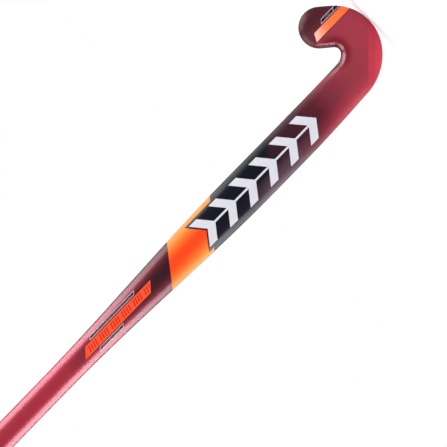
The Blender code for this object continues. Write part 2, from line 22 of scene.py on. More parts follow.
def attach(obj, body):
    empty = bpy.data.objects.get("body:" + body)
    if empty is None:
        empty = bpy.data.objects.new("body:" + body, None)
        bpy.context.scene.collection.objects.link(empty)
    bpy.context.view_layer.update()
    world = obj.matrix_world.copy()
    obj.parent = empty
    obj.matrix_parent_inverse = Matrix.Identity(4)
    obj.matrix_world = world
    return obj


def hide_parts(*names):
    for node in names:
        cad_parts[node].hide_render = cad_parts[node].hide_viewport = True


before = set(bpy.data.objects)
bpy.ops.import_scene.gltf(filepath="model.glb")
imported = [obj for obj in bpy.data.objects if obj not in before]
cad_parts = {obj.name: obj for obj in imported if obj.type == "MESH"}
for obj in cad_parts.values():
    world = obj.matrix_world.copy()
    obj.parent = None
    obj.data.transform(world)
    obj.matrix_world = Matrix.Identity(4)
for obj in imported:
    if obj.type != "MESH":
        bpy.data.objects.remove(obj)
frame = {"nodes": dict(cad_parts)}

LOG = logging.getLogger("hockey_stick")
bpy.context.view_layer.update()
MM = 0.001
HOLD_HEIGHT = 772 * MM
PAINT_SIDE = "paint_side"
ALONG = "along_mm"
ACROSS = "across_mm"
TURN_SHARE = "turn_share"

Array = np.ndarray
Socket = bpy.types.NodeSocket
Colour = tuple[float, float, float, float]
Stops = tuple[tuple[float, Colour | float], ...]
Place = tuple[float, float]
Numbers = tuple[float, ...]


class Side(Enum):
    """The two broad sides of the stick, with the way each looks along Y."""

    FACE = -1
    BACK = 1


class Print(Enum):
    """What is printed on a film."""

    PLAIN = "plain"
    TICKS = "a row of slanted ticks"
    OUTLINED = "an outline with a fine row of ticks in it"
    FADE = "a fade to a pale end"


def smooth(value: Array) -> Array:
    """A 0 to 1 ramp that starts and ends level."""
    t = np.clip(value, 0.0, 1.0)
    return t * t * (3.0 - 2.0 * t)


def blend(low: Array, high: Array, share: Array) -> Array:
    """The value that is share of the way from low to high."""
    return low + (high - low) * share


def paint(red: float, green: float, blue: float) -> Colour:
    """A colour as a paint chart gives it, 0 to 255, turned to the linear one that a shader takes."""
    shares = (value / 255.0 for value in (red, green, blue))
    return (*(s / 12.92 if s <= 0.04045 else ((s + 0.055) / 1.055) ** 2.4 for s in shares), 1.0)


@dataclass(frozen=True)
class StickLine:
    """The line through the middle of the stick's width, and the stick's section at every point.

    run is the distance along the line from the top of the neck: negative up the shaft, positive
    into the hook. lean is the turn of the line from straight down towards the toe. bends holds
    the length and turn of the neck, the heel, the toe and the toe's straight end. sweep is how
    far the neck stands to the heel side, and over what length of shaft that fades.
    """

    length: float = 927 * MM
    bends: tuple[Place, ...] = (
        (90 * MM, math.radians(2.1)),
        (38.8 * MM * math.radians(47.0), math.radians(47.0)),
        (29.3 * MM * math.radians(90.0), math.radians(90.0)),
        (14 * MM, 0.0),
    )
    sweep: Place = (2.2 * MM, 300 * MM)
    hook_width: float = 45.4 * MM
    shaft_width: float = 48 * MM
    handle_width: float = 29.5 * MM
    neck_blend: float = 120 * MM
    taper_start: float = 205 * MM
    taper_end: float = 525 * MM
    head_depth: float = 19.5 * MM
    shaft_depth: float = 21.5 * MM
    handle_depth: float = 26 * MM
    edge_round: float = 6.5 * MM
    handle_flat: float = 5 * MM
    back_fullness: float = 2.3
    oval_fullness: float = 2.0
    bow_depth: float = 22.5 * MM
    bow_start: float = 72 * MM
    bow_peak: float = 300 * MM
    sample: float = 0.5 * MM

    @cached_property
    def hook_length(self) -> float:
        """Length of the line from the top of the neck to the middle of the toe's round end."""
        return sum(length for length, _ in self.bends)

    @cached_property
    def neck_height(self) -> float:
        """Height of the top of the neck, which puts the lowest point of the head at zero."""
        runs = np.arange(0.0, self.hook_length, self.sample)
        _, drop, lean = self.hook_from(runs, 0.0)
        width = blend(self.shaft_width, self.hook_width, smooth(runs / self.neck_blend))
        return -float((drop - 0.5 * width * np.sin(lean)).min())

    @cached_property
    def face_plane(self) -> float:
        """Y of the plane that the head's flat face lies in. The origin is on the handle's middle."""
        return -float(self.bow(np.array(HOLD_HEIGHT))) - 0.5 * self.handle_depth

    def hook_from(self, runs: Array, top: float) -> tuple[Array, Array, Array]:
        """Place and lean of points in the hook, bend after bend.

        On each bend of radius R the line turns by a swing s from its lean L. It moves to the toe
        by R (cos L - cos(L + s)) and down by R (sin(L + s) - sin L).

        Args:
            runs: distances along the line, zero or more.
            top: height of the top of the neck.

        Returns:
            Place across, height and lean of each point.
        """
        x = np.full(runs.shape, self.sweep[0])
        height = np.full(runs.shape, top)
        lean = np.zeros(runs.shape)
        start = 0.0
        for length, turn in self.bends:
            part = np.clip(runs - start, 0.0, length)
            swing = turn * part / length
            if turn:
                radius = length / turn
                x = x - radius * (np.cos(lean) - np.cos(lean + swing))
                height = height - radius * (np.sin(lean + swing) - np.sin(lean))
            else:
                x = x - part * np.sin(lean)
                height = height - part * np.cos(lean)
            lean = lean + swing
            start += length
        return x, height, lean

    def at(self, runs: Array) -> tuple[Array, Array, Array]:
        """Place across, height and lean of points anywhere on the line.

        Above the neck the line is upright, and smoothly takes back the neck's sweep.

        Args:
            runs: distances along the line.

        Returns:
            Place across, height and lean of each point.
        """
        runs = np.asarray(runs, float)
        x, height, lean = self.hook_from(np.maximum(runs, 0.0), self.neck_height)
        above = runs < 0.0
        offset, length = self.sweep
        x = np.where(above, offset * (1.0 - smooth(-runs / length)), x)
        return x, np.where(above, self.run_of(runs), height), lean

    def run_of(self, height: Array) -> Array:
        """How far along the line a height on the shaft is, and the height of such a run."""
        return self.neck_height - height

    def taper(self, runs: Array) -> Array:
        """0 in the head and shaft, 1 in the handle, along half a cosine wave in between."""
        height = self.run_of(np.minimum(runs, 0.0))
        share = np.clip((height - self.taper_start) / (self.taper_end - self.taper_start), 0.0, 1.0)
        return 0.5 - 0.5 * np.cos(np.pi * share)

    def sized(self, runs: Array, shaft: float, handle: float, head: float) -> Array:
        """A measure that runs from the head's to the shaft's and then the handle's."""
        return blend(blend(shaft, handle, self.taper(runs)), head, smooth(runs / self.neck_blend))

    def width(self, runs: Array) -> Array:
        """Width across the playing face."""
        return self.sized(runs, self.shaft_width, self.handle_width, self.hook_width)

    def depth(self, runs: Array) -> Array:
        """Depth from the playing face to the crown of the back."""
        return self.sized(runs, self.shaft_depth, self.handle_depth, self.head_depth)

    def face_depth(self, runs: Array) -> Array:
        """How far the widest part of the section lies behind the playing face."""
        return blend(self.edge_round, 0.5 * self.depth(runs), self.taper(runs))

    def section(self, runs: Array, offset: Array) -> tuple[Array, Array, Array, Array, Array]:
        """Half width, edge run, face depth, back depth and fullness, grown outwards by offset."""
        taper, half, face = self.taper(runs), 0.5 * self.width(runs), self.face_depth(runs)
        edge = blend(self.edge_round, half - 0.5 * self.handle_flat, taper)
        fullness = blend(self.back_fullness, self.oval_fullness, taper)
        return half + offset, edge + offset, face + offset, self.depth(runs) - face + offset, fullness

    def bow(self, height: Array) -> Array:
        """How far the playing face lies above a table at a height.

        It rises along a smooth ramp to the peak, then falls to the butt like a cantilever:
        1 - 1.5 t squared + 0.5 t cubed.

        Args:
            height: heights from the bottom of the head.

        Returns:
            The bow at each height.
        """
        rise = smooth((height - self.bow_start) / (self.bow_peak - self.bow_start))
        share = np.clip((height - self.bow_peak) / (self.length - self.bow_peak), 0.0, 1.0)
        fall = 1.0 - 1.5 * share**2 + 0.5 * share**3
        return self.bow_depth * np.where(height < self.bow_peak, rise, fall)

    def points(self, runs: Array, across: Array, depth: Array, swing: Array | float = 0.0) -> Array:
        """World points of places in the stick's sections, whose faces rest on the bowed line.

        Args:
            runs: where along the line each section is.
            across: places across the sections, positive on the heel side.
            depth: places behind the widest part of the sections.
            swing: a further turn of the sections towards the toe.

        Returns:
            The points, with x, y and z along the last axis.
        """
        x, height, lean = self.at(runs)
        x = x + across * np.cos(lean + swing)
        height = height - across * np.sin(lean + swing)
        y = self.face_plane + self.bow(height) + self.face_depth(runs) + depth
        return np.stack(np.broadcast_arrays(x, y, height - HOLD_HEIGHT), axis=-1)


@dataclass(frozen=True)
class Section:
    """The columns of points round a section, counted from the middle of the flat face."""

    flat_steps: int = 5
    edge_steps: int = 13
    back_steps: int = 30

    @property
    def half_count(self) -> int:
        """Columns from the middle of the face to the one before the crown of the back."""
        return self.flat_steps + self.edge_steps + self.back_steps

    @property
    def count(self) -> int:
        """Columns all the way round."""
        return 2 * self.half_count

    def half(self, line: StickLine, runs: Array, offset: Array) -> tuple[Array, Array]:
        """Half of each section, from the middle of the face round to the crown of the back.

        The face is flat, its edge is a quarter of an ellipse, and the back is a superellipse:
        half cos(a) to the power 2/n across, and back sin(a) to the power 2/n deep.

        Args:
            line: the stick's line.
            runs: where each section is.
            offset: how far the section is grown.

        Returns:
            Across and depth, one row for each run.
        """
        sizes = np.broadcast_arrays(*line.section(runs, offset))
        half, edge, face, back, fullness = (size[..., None] for size in sizes)
        flat = np.linspace(0.0, 1.0, self.flat_steps + 1)[:-1]
        turn = np.linspace(0.0, 0.5 * np.pi, self.edge_steps + 1)[:-1]
        rise = np.linspace(0.0, 0.5 * np.pi, self.back_steps + 1)
        across = (
            flat * (half - edge),
            half - edge + edge * np.sin(turn),
            half * np.cos(rise).clip(0.0) ** (2.0 / fullness),
        )
        depth = (-face + 0.0 * flat, -face * np.cos(turn), back * np.sin(rise) ** (2.0 / fullness))
        return np.concatenate(across, axis=-1), np.concatenate(depth, axis=-1)

    def whole(self, line: StickLine, runs: Array, offset: Array) -> tuple[Array, Array]:
        """Across and depth of whole sections: up the heel side, then back down the toe side."""
        across, depth = self.half(line, runs, offset)
        mirrored = ((across, -across), (depth, depth))
        return tuple(np.concatenate([heel, toe[..., -2:0:-1]], axis=-1) for heel, toe in mirrored)

    def sides(self) -> Array:
        """How far round each half column is: 0 on the flat face, 0.5 at the edge, 1 at the crown."""
        edge = 0.5 * np.arange(self.edge_steps) / self.edge_steps
        back = 0.5 + 0.5 * np.arange(self.back_steps + 1) / self.back_steps
        return np.concatenate([np.zeros(self.flat_steps), edge, back])

    def loops(self, line: StickLine, runs: Array, offset: Array) -> Array:
        """World points of whole sections."""
        return line.points(runs[..., None], *self.whole(line, runs, offset))


def grid_numbers(rows: int, columns: int, first: int = 0) -> Array:
    """Vertex numbers of a grid of points, row by row."""
    return first + np.arange(rows * columns).reshape(rows, columns)


def ring_quads(first: Array, second: Array) -> Array:
    """Quads between rings of vertex numbers, each ring closed on itself."""
    after = np.roll(first, -1, axis=-1), np.roll(second, -1, axis=-1)
    return np.stack([first, after[0], after[1], second], axis=-1).reshape(-1, 4)


def grid_quads(numbers: Array) -> Array:
    """Quads of an open grid of vertex numbers."""
    corners = numbers[:-1, :-1], numbers[1:, :-1], numbers[1:, 1:], numbers[:-1, 1:]
    return np.stack(corners, axis=-1).reshape(-1, 4)


def fan_triangles(ring: Array, middle: int) -> Array:
    """Triangles from a closed ring of vertex numbers to one in its middle."""
    return np.stack([ring, np.roll(ring, -1), np.full(ring.shape, middle)], axis=-1)


def make_piece(
    name: str,
    points: Array,
    faces: list[Array],
    values: dict[str, Array] | None = None,
    merge: bool = False,
    crease: float = 35.0,
) -> bpy.types.Object:
    """A mesh object at the origin, with its faces pointing out and its edges smooth.

    Args:
        name: the piece's name.
        points: world points, in metres.
        faces: arrays of quads and triangles of vertex numbers.
        values: a number for each point, under the name that a material reads.
        merge: whether points that coincide become one.
        crease: the angle in degrees past which an edge stays sharp.

    Returns:
        The new object.
    """
    mesh = bpy.data.meshes.new(name)
    mesh.from_pydata(points.reshape(-1, 3).tolist(), [], [f for a in faces for f in a.tolist()])
    for key, value in (values or {}).items():
        layer = mesh.attributes.new(key, "FLOAT", "POINT")
        layer.data.foreach_set("value", np.ascontiguousarray(value, np.float32).ravel())
    shape = bmesh.new()
    shape.from_mesh(mesh)
    if merge:
        bmesh.ops.remove_doubles(shape, verts=shape.verts, dist=1e-6)
    bmesh.ops.recalc_face_normals(shape, faces=shape.faces)
    shape.to_mesh(mesh)
    shape.free()
    mesh.shade_smooth()
    mesh.set_sharp_from_angle(angle=math.radians(crease))
    return link(bpy.data.objects.new(name, mesh))


def link(thing: bpy.types.Object) -> bpy.types.Object:
    """Puts an object in the scene and hands it back."""
    bpy.context.scene.collection.objects.link(thing)
    return thing


def settle(piece: bpy.types.Object, material: bpy.types.Material, node: str) -> None:
    """Dresses a finished piece and says what it rides on and stands for.

    Args:
        piece: the piece.
        material: what it is made of.
        node: the solid that it takes the place of.
    """
    piece.data.materials.clear()
    piece.data.materials.append(material)
    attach(piece, "root")
    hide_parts(node)
    LOG.info("%s: %d points, stands for %s", piece.name, len(piece.data.vertices), node)


@dataclass(frozen=True)
class Value:
    """A number or colour of a shader tree, with signs for sums, products and masks."""

    kit: "NodeKit"
    socket: Socket

    def math(self, operation: str, *others: object) -> "Value":
        """A Math node's result for this value, and for another where it takes two."""
        return self.kit.math(operation, self, *others)

    def __add__(self, other: object) -> "Value":
        """The sum."""
        return self.math("ADD", other)

    def __sub__(self, other: object) -> "Value":
        """The difference."""
        return self.math("SUBTRACT", other)

    def __mul__(self, other: object) -> "Value":
        """The product."""
        return self.math("MULTIPLY", other)

    def __and__(self, mask: object) -> "Value":
        """1 where both masks are 1."""
        return self * mask

    def __or__(self, mask: object) -> "Value":
        """1 where one mask or the other is 1."""
        return self.math("MAXIMUM", mask)

    def __invert__(self) -> "Value":
        """1 where the mask is 0."""
        return self.kit.math("SUBTRACT", 1.0, self)

    def __abs__(self) -> "Value":
        """The size without its sign."""
        return self.math("ABSOLUTE")

    def ramp(self, low: object, high: object, start: float = 0.0, end: float = 1.0) -> "Value":
        """A level-ended ramp from start at low to end at high."""
        inputs = dict(enumerate((self, low, high, start, end)))
        return self.kit.out("MapRange", inputs, interpolation_type="SMOOTHSTEP")

    def over(self, edge: object, soft: float) -> "Value":
        """1 over an edge and 0 under it, with a soft change between."""
        if isinstance(edge, Value):
            return (self - edge).over(0.0, soft)
        return self.ramp(edge - soft, edge + soft)

    def under(self, edge: object, soft: float) -> "Value":
        """1 under an edge and 0 over it, with a soft change between."""
        return ~self.over(edge, soft)

    def chart(self, stops: Stops) -> "Value":
        """A colour, or a grey, that changes along this value from stop to stop.

        Args:
            stops: values with the colour or the brightness that they get.

        Returns:
            The colour.
        """
        low, high = stops[0][0], stops[-1][0]
        share = self.kit.out("MapRange", dict(enumerate((self, low, high, 0.0, 1.0))))
        node = self.kit.add("ValToRGB", {0: share})
        elements = node.color_ramp.elements
        while len(elements) < len(stops):
            elements.new(0.5)
        for element, (place, colour) in zip(elements, stops):
            element.position = (place - low) / (high - low)
            element.color = colour if isinstance(colour, tuple) else (colour, colour, colour, 1.0)
        return Value(self.kit, node.outputs[0])


Spot = tuple[Value, Value, Value]
Outputs = dict[str, Value]
Looks = dict[str, object]


class NodeKit:
    """Adds nodes to one shader tree and joins them up."""

    def __init__(self, tree: bpy.types.NodeTree) -> None:
        """Keeps the tree that nodes are added to."""
        self.tree = tree

    def put(self, socket: Socket, value: object) -> None:
        """Links a socket to a value, or sets it to a number, a colour or a vector."""
        if isinstance(value, Value):
            self.tree.links.new(value.socket, socket)
        else:
            socket.default_value = value

    def add(self, kind: str, inputs: dict | None = None, **settings: object) -> bpy.types.Node:
        """A new node.

        Args:
            kind: what the node is called, without its first words.
            inputs: what goes into it, by name or number.
            settings: its settings.

        Returns:
            The node.
        """
        node = self.tree.nodes.new("ShaderNode" + kind)
        for key, value in settings.items():
            setattr(node, key, value)
        for key, value in (inputs or {}).items():
            self.put(node.inputs[key], value)
        return node

    def out(
        self, kind: str, inputs: dict | None = None, output: int | str = 0, **settings: object
    ) -> Value:
        """What a new node puts out."""
        return Value(self, self.add(kind, inputs, **settings).outputs[output])

    def math(self, operation: str, *values: object) -> Value:
        """A Math node's result for one or two values."""
        return self.out("Math", dict(enumerate(values)), operation=operation)

    def mix(self, share: object, first: object, second: object, way: str = "MIX") -> Value:
        """A colour that is share of the way from the first to the second."""
        inputs = {0: share, 6: first, 7: second}
        return self.out("Mix", inputs, 2, data_type="RGBA", blend_type=way)

    def layers(self, colour: object, *coats: tuple[Value, object]) -> object:
        """A colour with others laid over it in turn, each where its mask is 1."""
        for mask, coat in coats:
            colour = self.mix(mask, colour, coat)
        return colour

    def mottled(self, colour: object, mottle: Value, swing: float) -> Value:
        """A colour that a mottle makes darker and lighter by a swing."""
        return self.mix(1.0, colour, mottle.chart(((0.3, 1.0 - swing), (0.7, 1.0 + swing))), "MULTIPLY")

    def noise(self, vector: Value, scale: object, detail: float = 2.0, rough: float = 0.5) -> Value:
        """Noise between 0 and 1 over a place."""
        inputs = {"Vector": vector, "Scale": scale, "Detail": detail, "Roughness": rough}
        return self.out("TexNoise", inputs)

    def value_of(self, name: str) -> Value:
        """The number that the mesh carries under a name."""
        return self.out("Attribute", output="Fac", attribute_name=name)

    def place(self) -> Value:
        """Where a point is, in the object's own coordinates."""
        return self.out("TexCoord", output="Object")

    def split(self, vector: Value) -> list[Value]:
        """The three parts of a vector."""
        return [Value(self, socket) for socket in self.add("SeparateXYZ", {0: vector}).outputs]

    def bump(self, height: Value, strength: float, distance: float) -> Value:
        """A normal bent by a height."""
        return self.out("Bump", {"Strength": strength, "Distance": distance, "Height": height})

    def use(self, tree: bpy.types.NodeTree, **values: object) -> Outputs:
        """What a shared effect puts out in this tree for its own values."""
        node = self.add("Group", values, node_tree=tree)
        return {socket.name: Value(self, socket) for socket in node.outputs}


class Effects:
    """The shader groups that more than one finish uses, each built once."""

    def __init__(self) -> None:
        """Builds every group."""
        self.lacquer = self._group("sprayed lacquer", self._lacquer, "Peel", "Gloss", "Smudge")
        self.weave = self._group("plain weave", self._weave, "Threads")
        self.pebble = self._group("pebbled skin", self._pebble, "Pebbles")
        self.speckle = self._group("printed grain", self._speckle, "Grain")

    @staticmethod
    def _group(name: str, recipe: Callable[..., Outputs], *numbers: str) -> bpy.types.NodeTree:
        """A group with a place input, number inputs and number outputs.

        Args:
            name: the group's name.
            recipe: gives the outputs by name, for the group's kit, its place and its numbers.
            numbers: the names of the number inputs.

        Returns:
            The group's tree.
        """
        tree = bpy.data.node_groups.new(name, "ShaderNodeTree")
        face, kit = tree.interface, NodeKit(tree)
        face.new_socket("Place", in_out="INPUT", socket_type="NodeSocketVector")
        for key in numbers:
            face.new_socket(key, in_out="INPUT", socket_type="NodeSocketFloat")
        start = tree.nodes.new("NodeGroupInput")
        given = [Value(kit, start.outputs[key]) for key in ("Place", *numbers)]
        outputs = recipe(kit, *given)
        for key in outputs:
            face.new_socket(key, in_out="OUTPUT", socket_type="NodeSocketFloat")
        end = tree.nodes.new("NodeGroupOutput")
        for key, value in outputs.items():
            kit.put(end.inputs[key], value)
        return tree

    @staticmethod
    def _lacquer(kit: NodeKit, place: Value, peel: Value, gloss: Value, smudge: Value) -> Outputs:
        """Sprayed lacquer: fine orange peel, and faint smudges in its gloss."""
        swing = kit.noise(place, 26.0, 4.0, 0.6) * 2.0 - 1.0
        return {"Height": kit.noise(place, peel, 1.5), "Roughness": gloss + swing * smudge}

    @staticmethod
    def _weave(kit: NodeKit, place: Value, threads: Value) -> Outputs:
        """Plain woven cloth: two sets of round threads that pass over and under each other.

        A thread's height is a sine over its own width. Where the numbers of the threads that
        cross add up to an odd one, the first set lies over.

        Args:
            kit: the group's kit.
            place: where a point is.
            threads: how many threads there are in a metre.

        Returns:
            The height, and where the first set lies over.
        """
        x, y, z = kit.split(place)
        phases = (x + y) * threads, z * threads
        crowns = [(phase.math("FRACT") * math.pi).math("SINE") for phase in phases]
        over = (phases[0].math("FLOOR") + phases[1].math("FLOOR")).math("PINGPONG", 1.0)
        return {"Height": crowns[0] * over + crowns[1] * ~over, "Over": over}

    @staticmethod
    def _pebble(kit: NodeKit, place: Value, pebbles: Value) -> Outputs:
        """Pebbled skin of a soft moulded or coated surface: small domes with creases between."""
        cells = {"Vector": place, "Scale": pebbles}
        dome = kit.out("TexVoronoi", cells, "Distance", feature="DISTANCE_TO_EDGE").ramp(0.0, 0.32)
        return {"Height": dome + kit.noise(place, 2600.0) * 0.25, "Crease": ~dome}

    @staticmethod
    def _speckle(kit: NodeKit, place: Value, grain: Value) -> Outputs:
        """Grain of printed ink: a fine even mottle, and sparse brighter flecks."""
        mottle = kit.noise(place, grain, 3.0)
        return {"Mottle": mottle, "Fleck": mottle.ramp(0.58, 0.66)}


@dataclass(frozen=True)
class Finish:
    """What a surface looks like, as a material made of nodes."""

    name: str

    def looks(self, kit: NodeKit, effects: Effects) -> Looks:
        """What the surface looks like.

        Args:
            effects: the shared shader groups.

        Returns:
            What goes into each input of the shader that isn't left as it is.
        """
        raise NotImplementedError

    def make(self, effects: Effects) -> bpy.types.Material:
        """The material, whose shader takes the looks.

        Args:
            effects: the shared shader groups.

        Returns:
            The material.
        """
        material = bpy.data.materials.new(self.name)
        material.use_nodes = True
        kit = NodeKit(material.node_tree)
        shader = material.node_tree.nodes["Principled BSDF"]
        for key, value in self.looks(kit, effects).items():
            kit.put(shader.inputs[key], value)
        return material


def sprayed(kit: NodeKit, effects: Effects, gloss: Value | float) -> Looks:
    """What a coat of sprayed lacquer gives a surface, apart from its weight.

    Args:
        effects: the shared shader groups.
        gloss: how rough the lacquer is.

    Returns:
        What goes into the shader's inputs.
    """
    skin = kit.use(effects.lacquer, Place=kit.place(), Peel=520.0, Gloss=gloss, Smudge=0.05)
    normal = kit.bump(skin["Height"], 0.05, 0.0004)
    return {"Roughness": skin["Roughness"], "Normal": normal, "Coat Roughness": 0.28}


@dataclass(frozen=True)
class LacquerFinish(Finish):
    """The painted and lacquered body: black face, red back, an orange band and a red handle.

    Places are in millimetres: x across the stick and height from the bottom of the head. side is
    0 on the flat face, 0.5 at the section's widest and 1 at the crown of the back. A pair of
    numbers is where a ramp starts and ends, or an edge and how soft it is. Two more are what
    the ramp runs from and to. Stops are heights with the colour there. A zone has one ramp for
    each way in which it is bounded. A spot is a point's x, height and side.

    stripe is its middle, half its width and its top. tag is its middle, half its width, its rim
    and its top. flash is its reach, bottom and top. An edge of the band is its slope and its
    height on the face and on the back. A fletch is its foot, which lies just past the stroke of
    the row's last chevron, its middle and its reach. flank is the middle of the band, where its
    amber starts on the face and on the back, and where it is full.
    panel_edge is the slope and height of a line, and throat the middle of the hook's inner arc.
    """

    name: str = "lacquered laminate"
    black: Colour = paint(3, 6, 22)
    orange: Colour = paint(247, 72, 29)
    amber: Colour = paint(243, 154, 62)
    # mauve: painted sheen on the heel-side flank of the shaft above the head
    mauve: Colour = paint(88, 62, 76)
    # Painted highlight: brighter reds for the head's heel side, as lit facets.
    panel_red: Colour = paint(184, 58, 74)
    panel_bright: Colour = paint(202, 62, 80)
    # Painted shade: deep red round the hook's tight inner bend.
    throat_shade_red: Colour = paint(112, 6, 30)
    # Painted reflection: a dark line along the rounded edge of the hook's inner bend.
    dark_rim_reflection: Colour = paint(64, 12, 28)
    toe_maroon: Colour = paint(98, 42, 52)
    toe_tip: Colour = paint(74, 30, 39)
    stripe_orange: Colour = paint(253, 116, 62)
    tag_rim: Colour = paint(188, 170, 190)
    pin_mauve: Colour = paint(74, 38, 50)
    pin_red: Colour = paint(150, 44, 70)
    head: Stops = (
        (0.0, paint(168, 62, 80)),
        (18.0, paint(160, 56, 73)),
        (42.0, paint(147, 54, 67)),
        (62.0, paint(143, 52, 64)),
        (92.0, paint(114, 41, 55)),
        (108.0, paint(86, 27, 39)),
        (130.0, paint(62, 23, 36)),
        (165.0, paint(48, 20, 32)),
        (200.0, paint(40, 18, 28)),
    )
    shaft: Stops = (
        (310.0, paint(3, 6, 22)),
        (330.0, paint(44, 11, 20)),
        (400.0, paint(57, 15, 26)),
        (455.0, paint(102, 25, 39)),
        (500.0, paint(155, 34, 53)),
    )
    # Painted sheen: paler pink up the back's flanks, on top of the gloss's own reflection.
    painted_sheen: Stops = (
        (330.0, paint(84, 22, 38)),
        (361.0, paint(100, 24, 42)),
        (430.0, paint(156, 50, 76)),
        (480.0, paint(188, 60, 90)),
    )
    face: Stops = (
        (330.0, paint(14, 23, 32)),
        (331.0, paint(44, 11, 20)),
        (405.0, paint(64, 24, 32)),
        (460.0, paint(118, 35, 48)),
        (508.0, paint(155, 34, 53)),
    )
    coats: Stops = ((60.0, 0.07), (130.0, 0.12), (232.0, 0.16), (330.0, 0.2), (430.0, 0.325))
    paint_line: Place = (0.41, 0.015)
    black_start: Place = (186.0, 7.0)
    black_slope: float = 0.85
    # where the painted sheen lies: off the middle, up the handle and round the flanks
    painted_sheen_zone: tuple[Place, ...] = ((3.5, 12.5), (322.0, 334.0), (0.56, 0.7))
    # where the painted sheen on the heel flank lies
    heel_sheen_zone: tuple[Place, ...] = ((3.0, 18.0), (115.0, 165.0), (195.0, 240.0))
    # where the painted highlight on the head lies: a sharp line, lighter towards the heel edge, fading
    # up the shaft
    panel_edge: Place = (1.024, 33.2)
    panel_flank: Place = (2.0, 26.0)
    panel_fade: Place = (48.0, 175.0)
    bright_inset: Place = (11.0, 4.0)
    bright_fade: Place = (52.0, 100.0)
    throat: Place = (-32.0, 52.0)
    # reach of the painted shade round the hook's inner bend
    throat_shade_reach: Place = (13.0, 22.0)
    # reach and sides of the painted dark reflection along that edge
    dark_rim_reach: Place = (18.0, 30.0)
    dark_rim_sides: Place = (0.6, 0.68)
    throat_shine: Place = (14.0, 30.0)
    toe_edge: Place = (53.3, 0.4)
    toe_fade: Place = (-76.0, -58.0)
    # how strongly the painted sheen on the heel flank and the painted shade at the hook's bend are laid
    # on
    painted_light_share: float = 0.8
    stripe: Numbers = (-58.4, 4.3, 14.0)
    tag: Numbers = (-66.2, 2.2, 0.6, 82.5)
    tag_slant: float = 0.95
    pin_middle: float = -33.0
    pin_fade: Place = (12.0, 30.0)
    pin_side: Place = (0.1, 0.09)
    pin_top: Place = (26.0, 4.0)
    flash: Numbers = (10.5, 3.2, 9.6)
    band_low: Numbers = (0.87, 281.0, 274.5)
    band_high: Numbers = (0.805, 343.5, 339.5)
    chevron_slope: float = 0.8
    face_fletch: Numbers = (126.0 + 5 * 31.0 + 11.5 + 2.2, 1.4, 18.2)
    back_fletch: Numbers = (116.0 + 5 * 31.0 + 11.5 + 2.2, 1.4, 18.6)
    band_turn: Place = (0.3, 0.62)
    flank: Numbers = (1.0, 14.0, 2.0, 21.0)
    amber_share: Place = (0.65, 0.85)
    soft: float = 0.35
    upper: Place = (330.0, 400.0)
    upper_gloss: Numbers = (-10.0, 6.0, 0.3, 0.85)
    coat_zone: tuple[Numbers, ...] = ((0.6, 0.75, 0.15, 1.0), (0.28, 0.42, 1.0, 0.15))
    shine_zone: tuple[Place, ...] = ((0.61, 0.66), (0.7, 0.76))
    matt_side: Place = (0.05, 0.45)
    back_gloss: float = 0.3
    face_gloss: float = 0.46
    band_gloss: float = 0.15
    edge_shine: float = 0.48
    grain: float = 0.06

    def looks(self, kit: NodeKit, effects: Effects) -> Looks:
        """The paint, and a coat that thins out where the lacquer is matt."""
        place = kit.place()
        x, _, height = kit.split(place)
        x, height = x * 1000.0, height * 1000.0 + HOLD_HEIGHT / MM
        side = kit.value_of(PAINT_SIDE)
        spot, back = (x, height, side), side.over(*self.paint_line)
        colour = kit.mix(back, self._face(kit, spot), self._back(kit, spot))
        colour, band = self._banded(kit, colour, spot, back)
        grain = kit.use(effects.speckle, Place=place, Grain=1100.0)
        above = height.ramp(*self.upper)
        matt = ~side.ramp(*self.matt_side) & ~above
        gloss = matt * (self.face_gloss - self.back_gloss) + self.back_gloss
        glossy = (back | (above & x.ramp(*self.upper_gloss))) & (band * (self.band_gloss - 1.0) + 1.0)
        round_back, round_face = (side.ramp(*sides) for sides in self.coat_zone)
        inner, outer = (side.ramp(*sides) for sides in self.shine_zone)
        edge = inner & ~outer & self._near_throat(x, height, *self.throat_shine)
        weight = height.chart(self.coats) + edge * self.edge_shine
        return sprayed(kit, effects, gloss) | {
            "Base Color": kit.mottled(colour, grain["Mottle"], self.grain),
            "Specular IOR Level": 0.02,
            "Coat Weight": glossy * (round_back | round_face) * weight,
        }

    def _near_throat(self, x: Value, height: Value, inner: float, outer: float) -> Value:
        """1 near the tight inner edge of the hook, by the distance from the middle of its arc."""
        dx, dh = x - self.throat[0], height - self.throat[1]
        return ~(dx * dx + dh * dh).math("SQRT").ramp(inner, outer)

    def _back(self, kit: NodeKit, spot: Spot) -> Value:
        """Colour of the rounded back below and above the band, with painted highlight, sheen and shade
        on its head and flanks.

        Args:
            kit: the material's kit.
            spot: the place of a point.

        Returns:
            The colour.
        """
        x, height, side = spot
        # painted sheen on the back's flanks above the band
        off_middle, up, around = self.painted_sheen_zone
        painted_sheen = abs(x).ramp(*off_middle) & height.ramp(*up) & side.ramp(*around)
        shaft = kit.mix(painted_sheen, height.chart(self.shaft), height.chart(self.painted_sheen))
        slanted = height - x * self.black_slope
        # painted highlight: brighter red panels on the head, lighter towards the heel edge
        past = x * self.panel_edge[0] + self.panel_edge[1] - height
        panel = (past.over(0.0, 0.5) | x.ramp(*self.panel_flank)) & ~height.ramp(*self.panel_fade)
        bright = past.over(*self.bright_inset) & ~height.ramp(*self.bright_fade)
        # painted sheen: mauve on the heel-side flank
        to_heel, rising, fading = self.heel_sheen_zone
        heel_sheen = x.ramp(*to_heel) & height.ramp(*rising) & ~height.ramp(*fading)
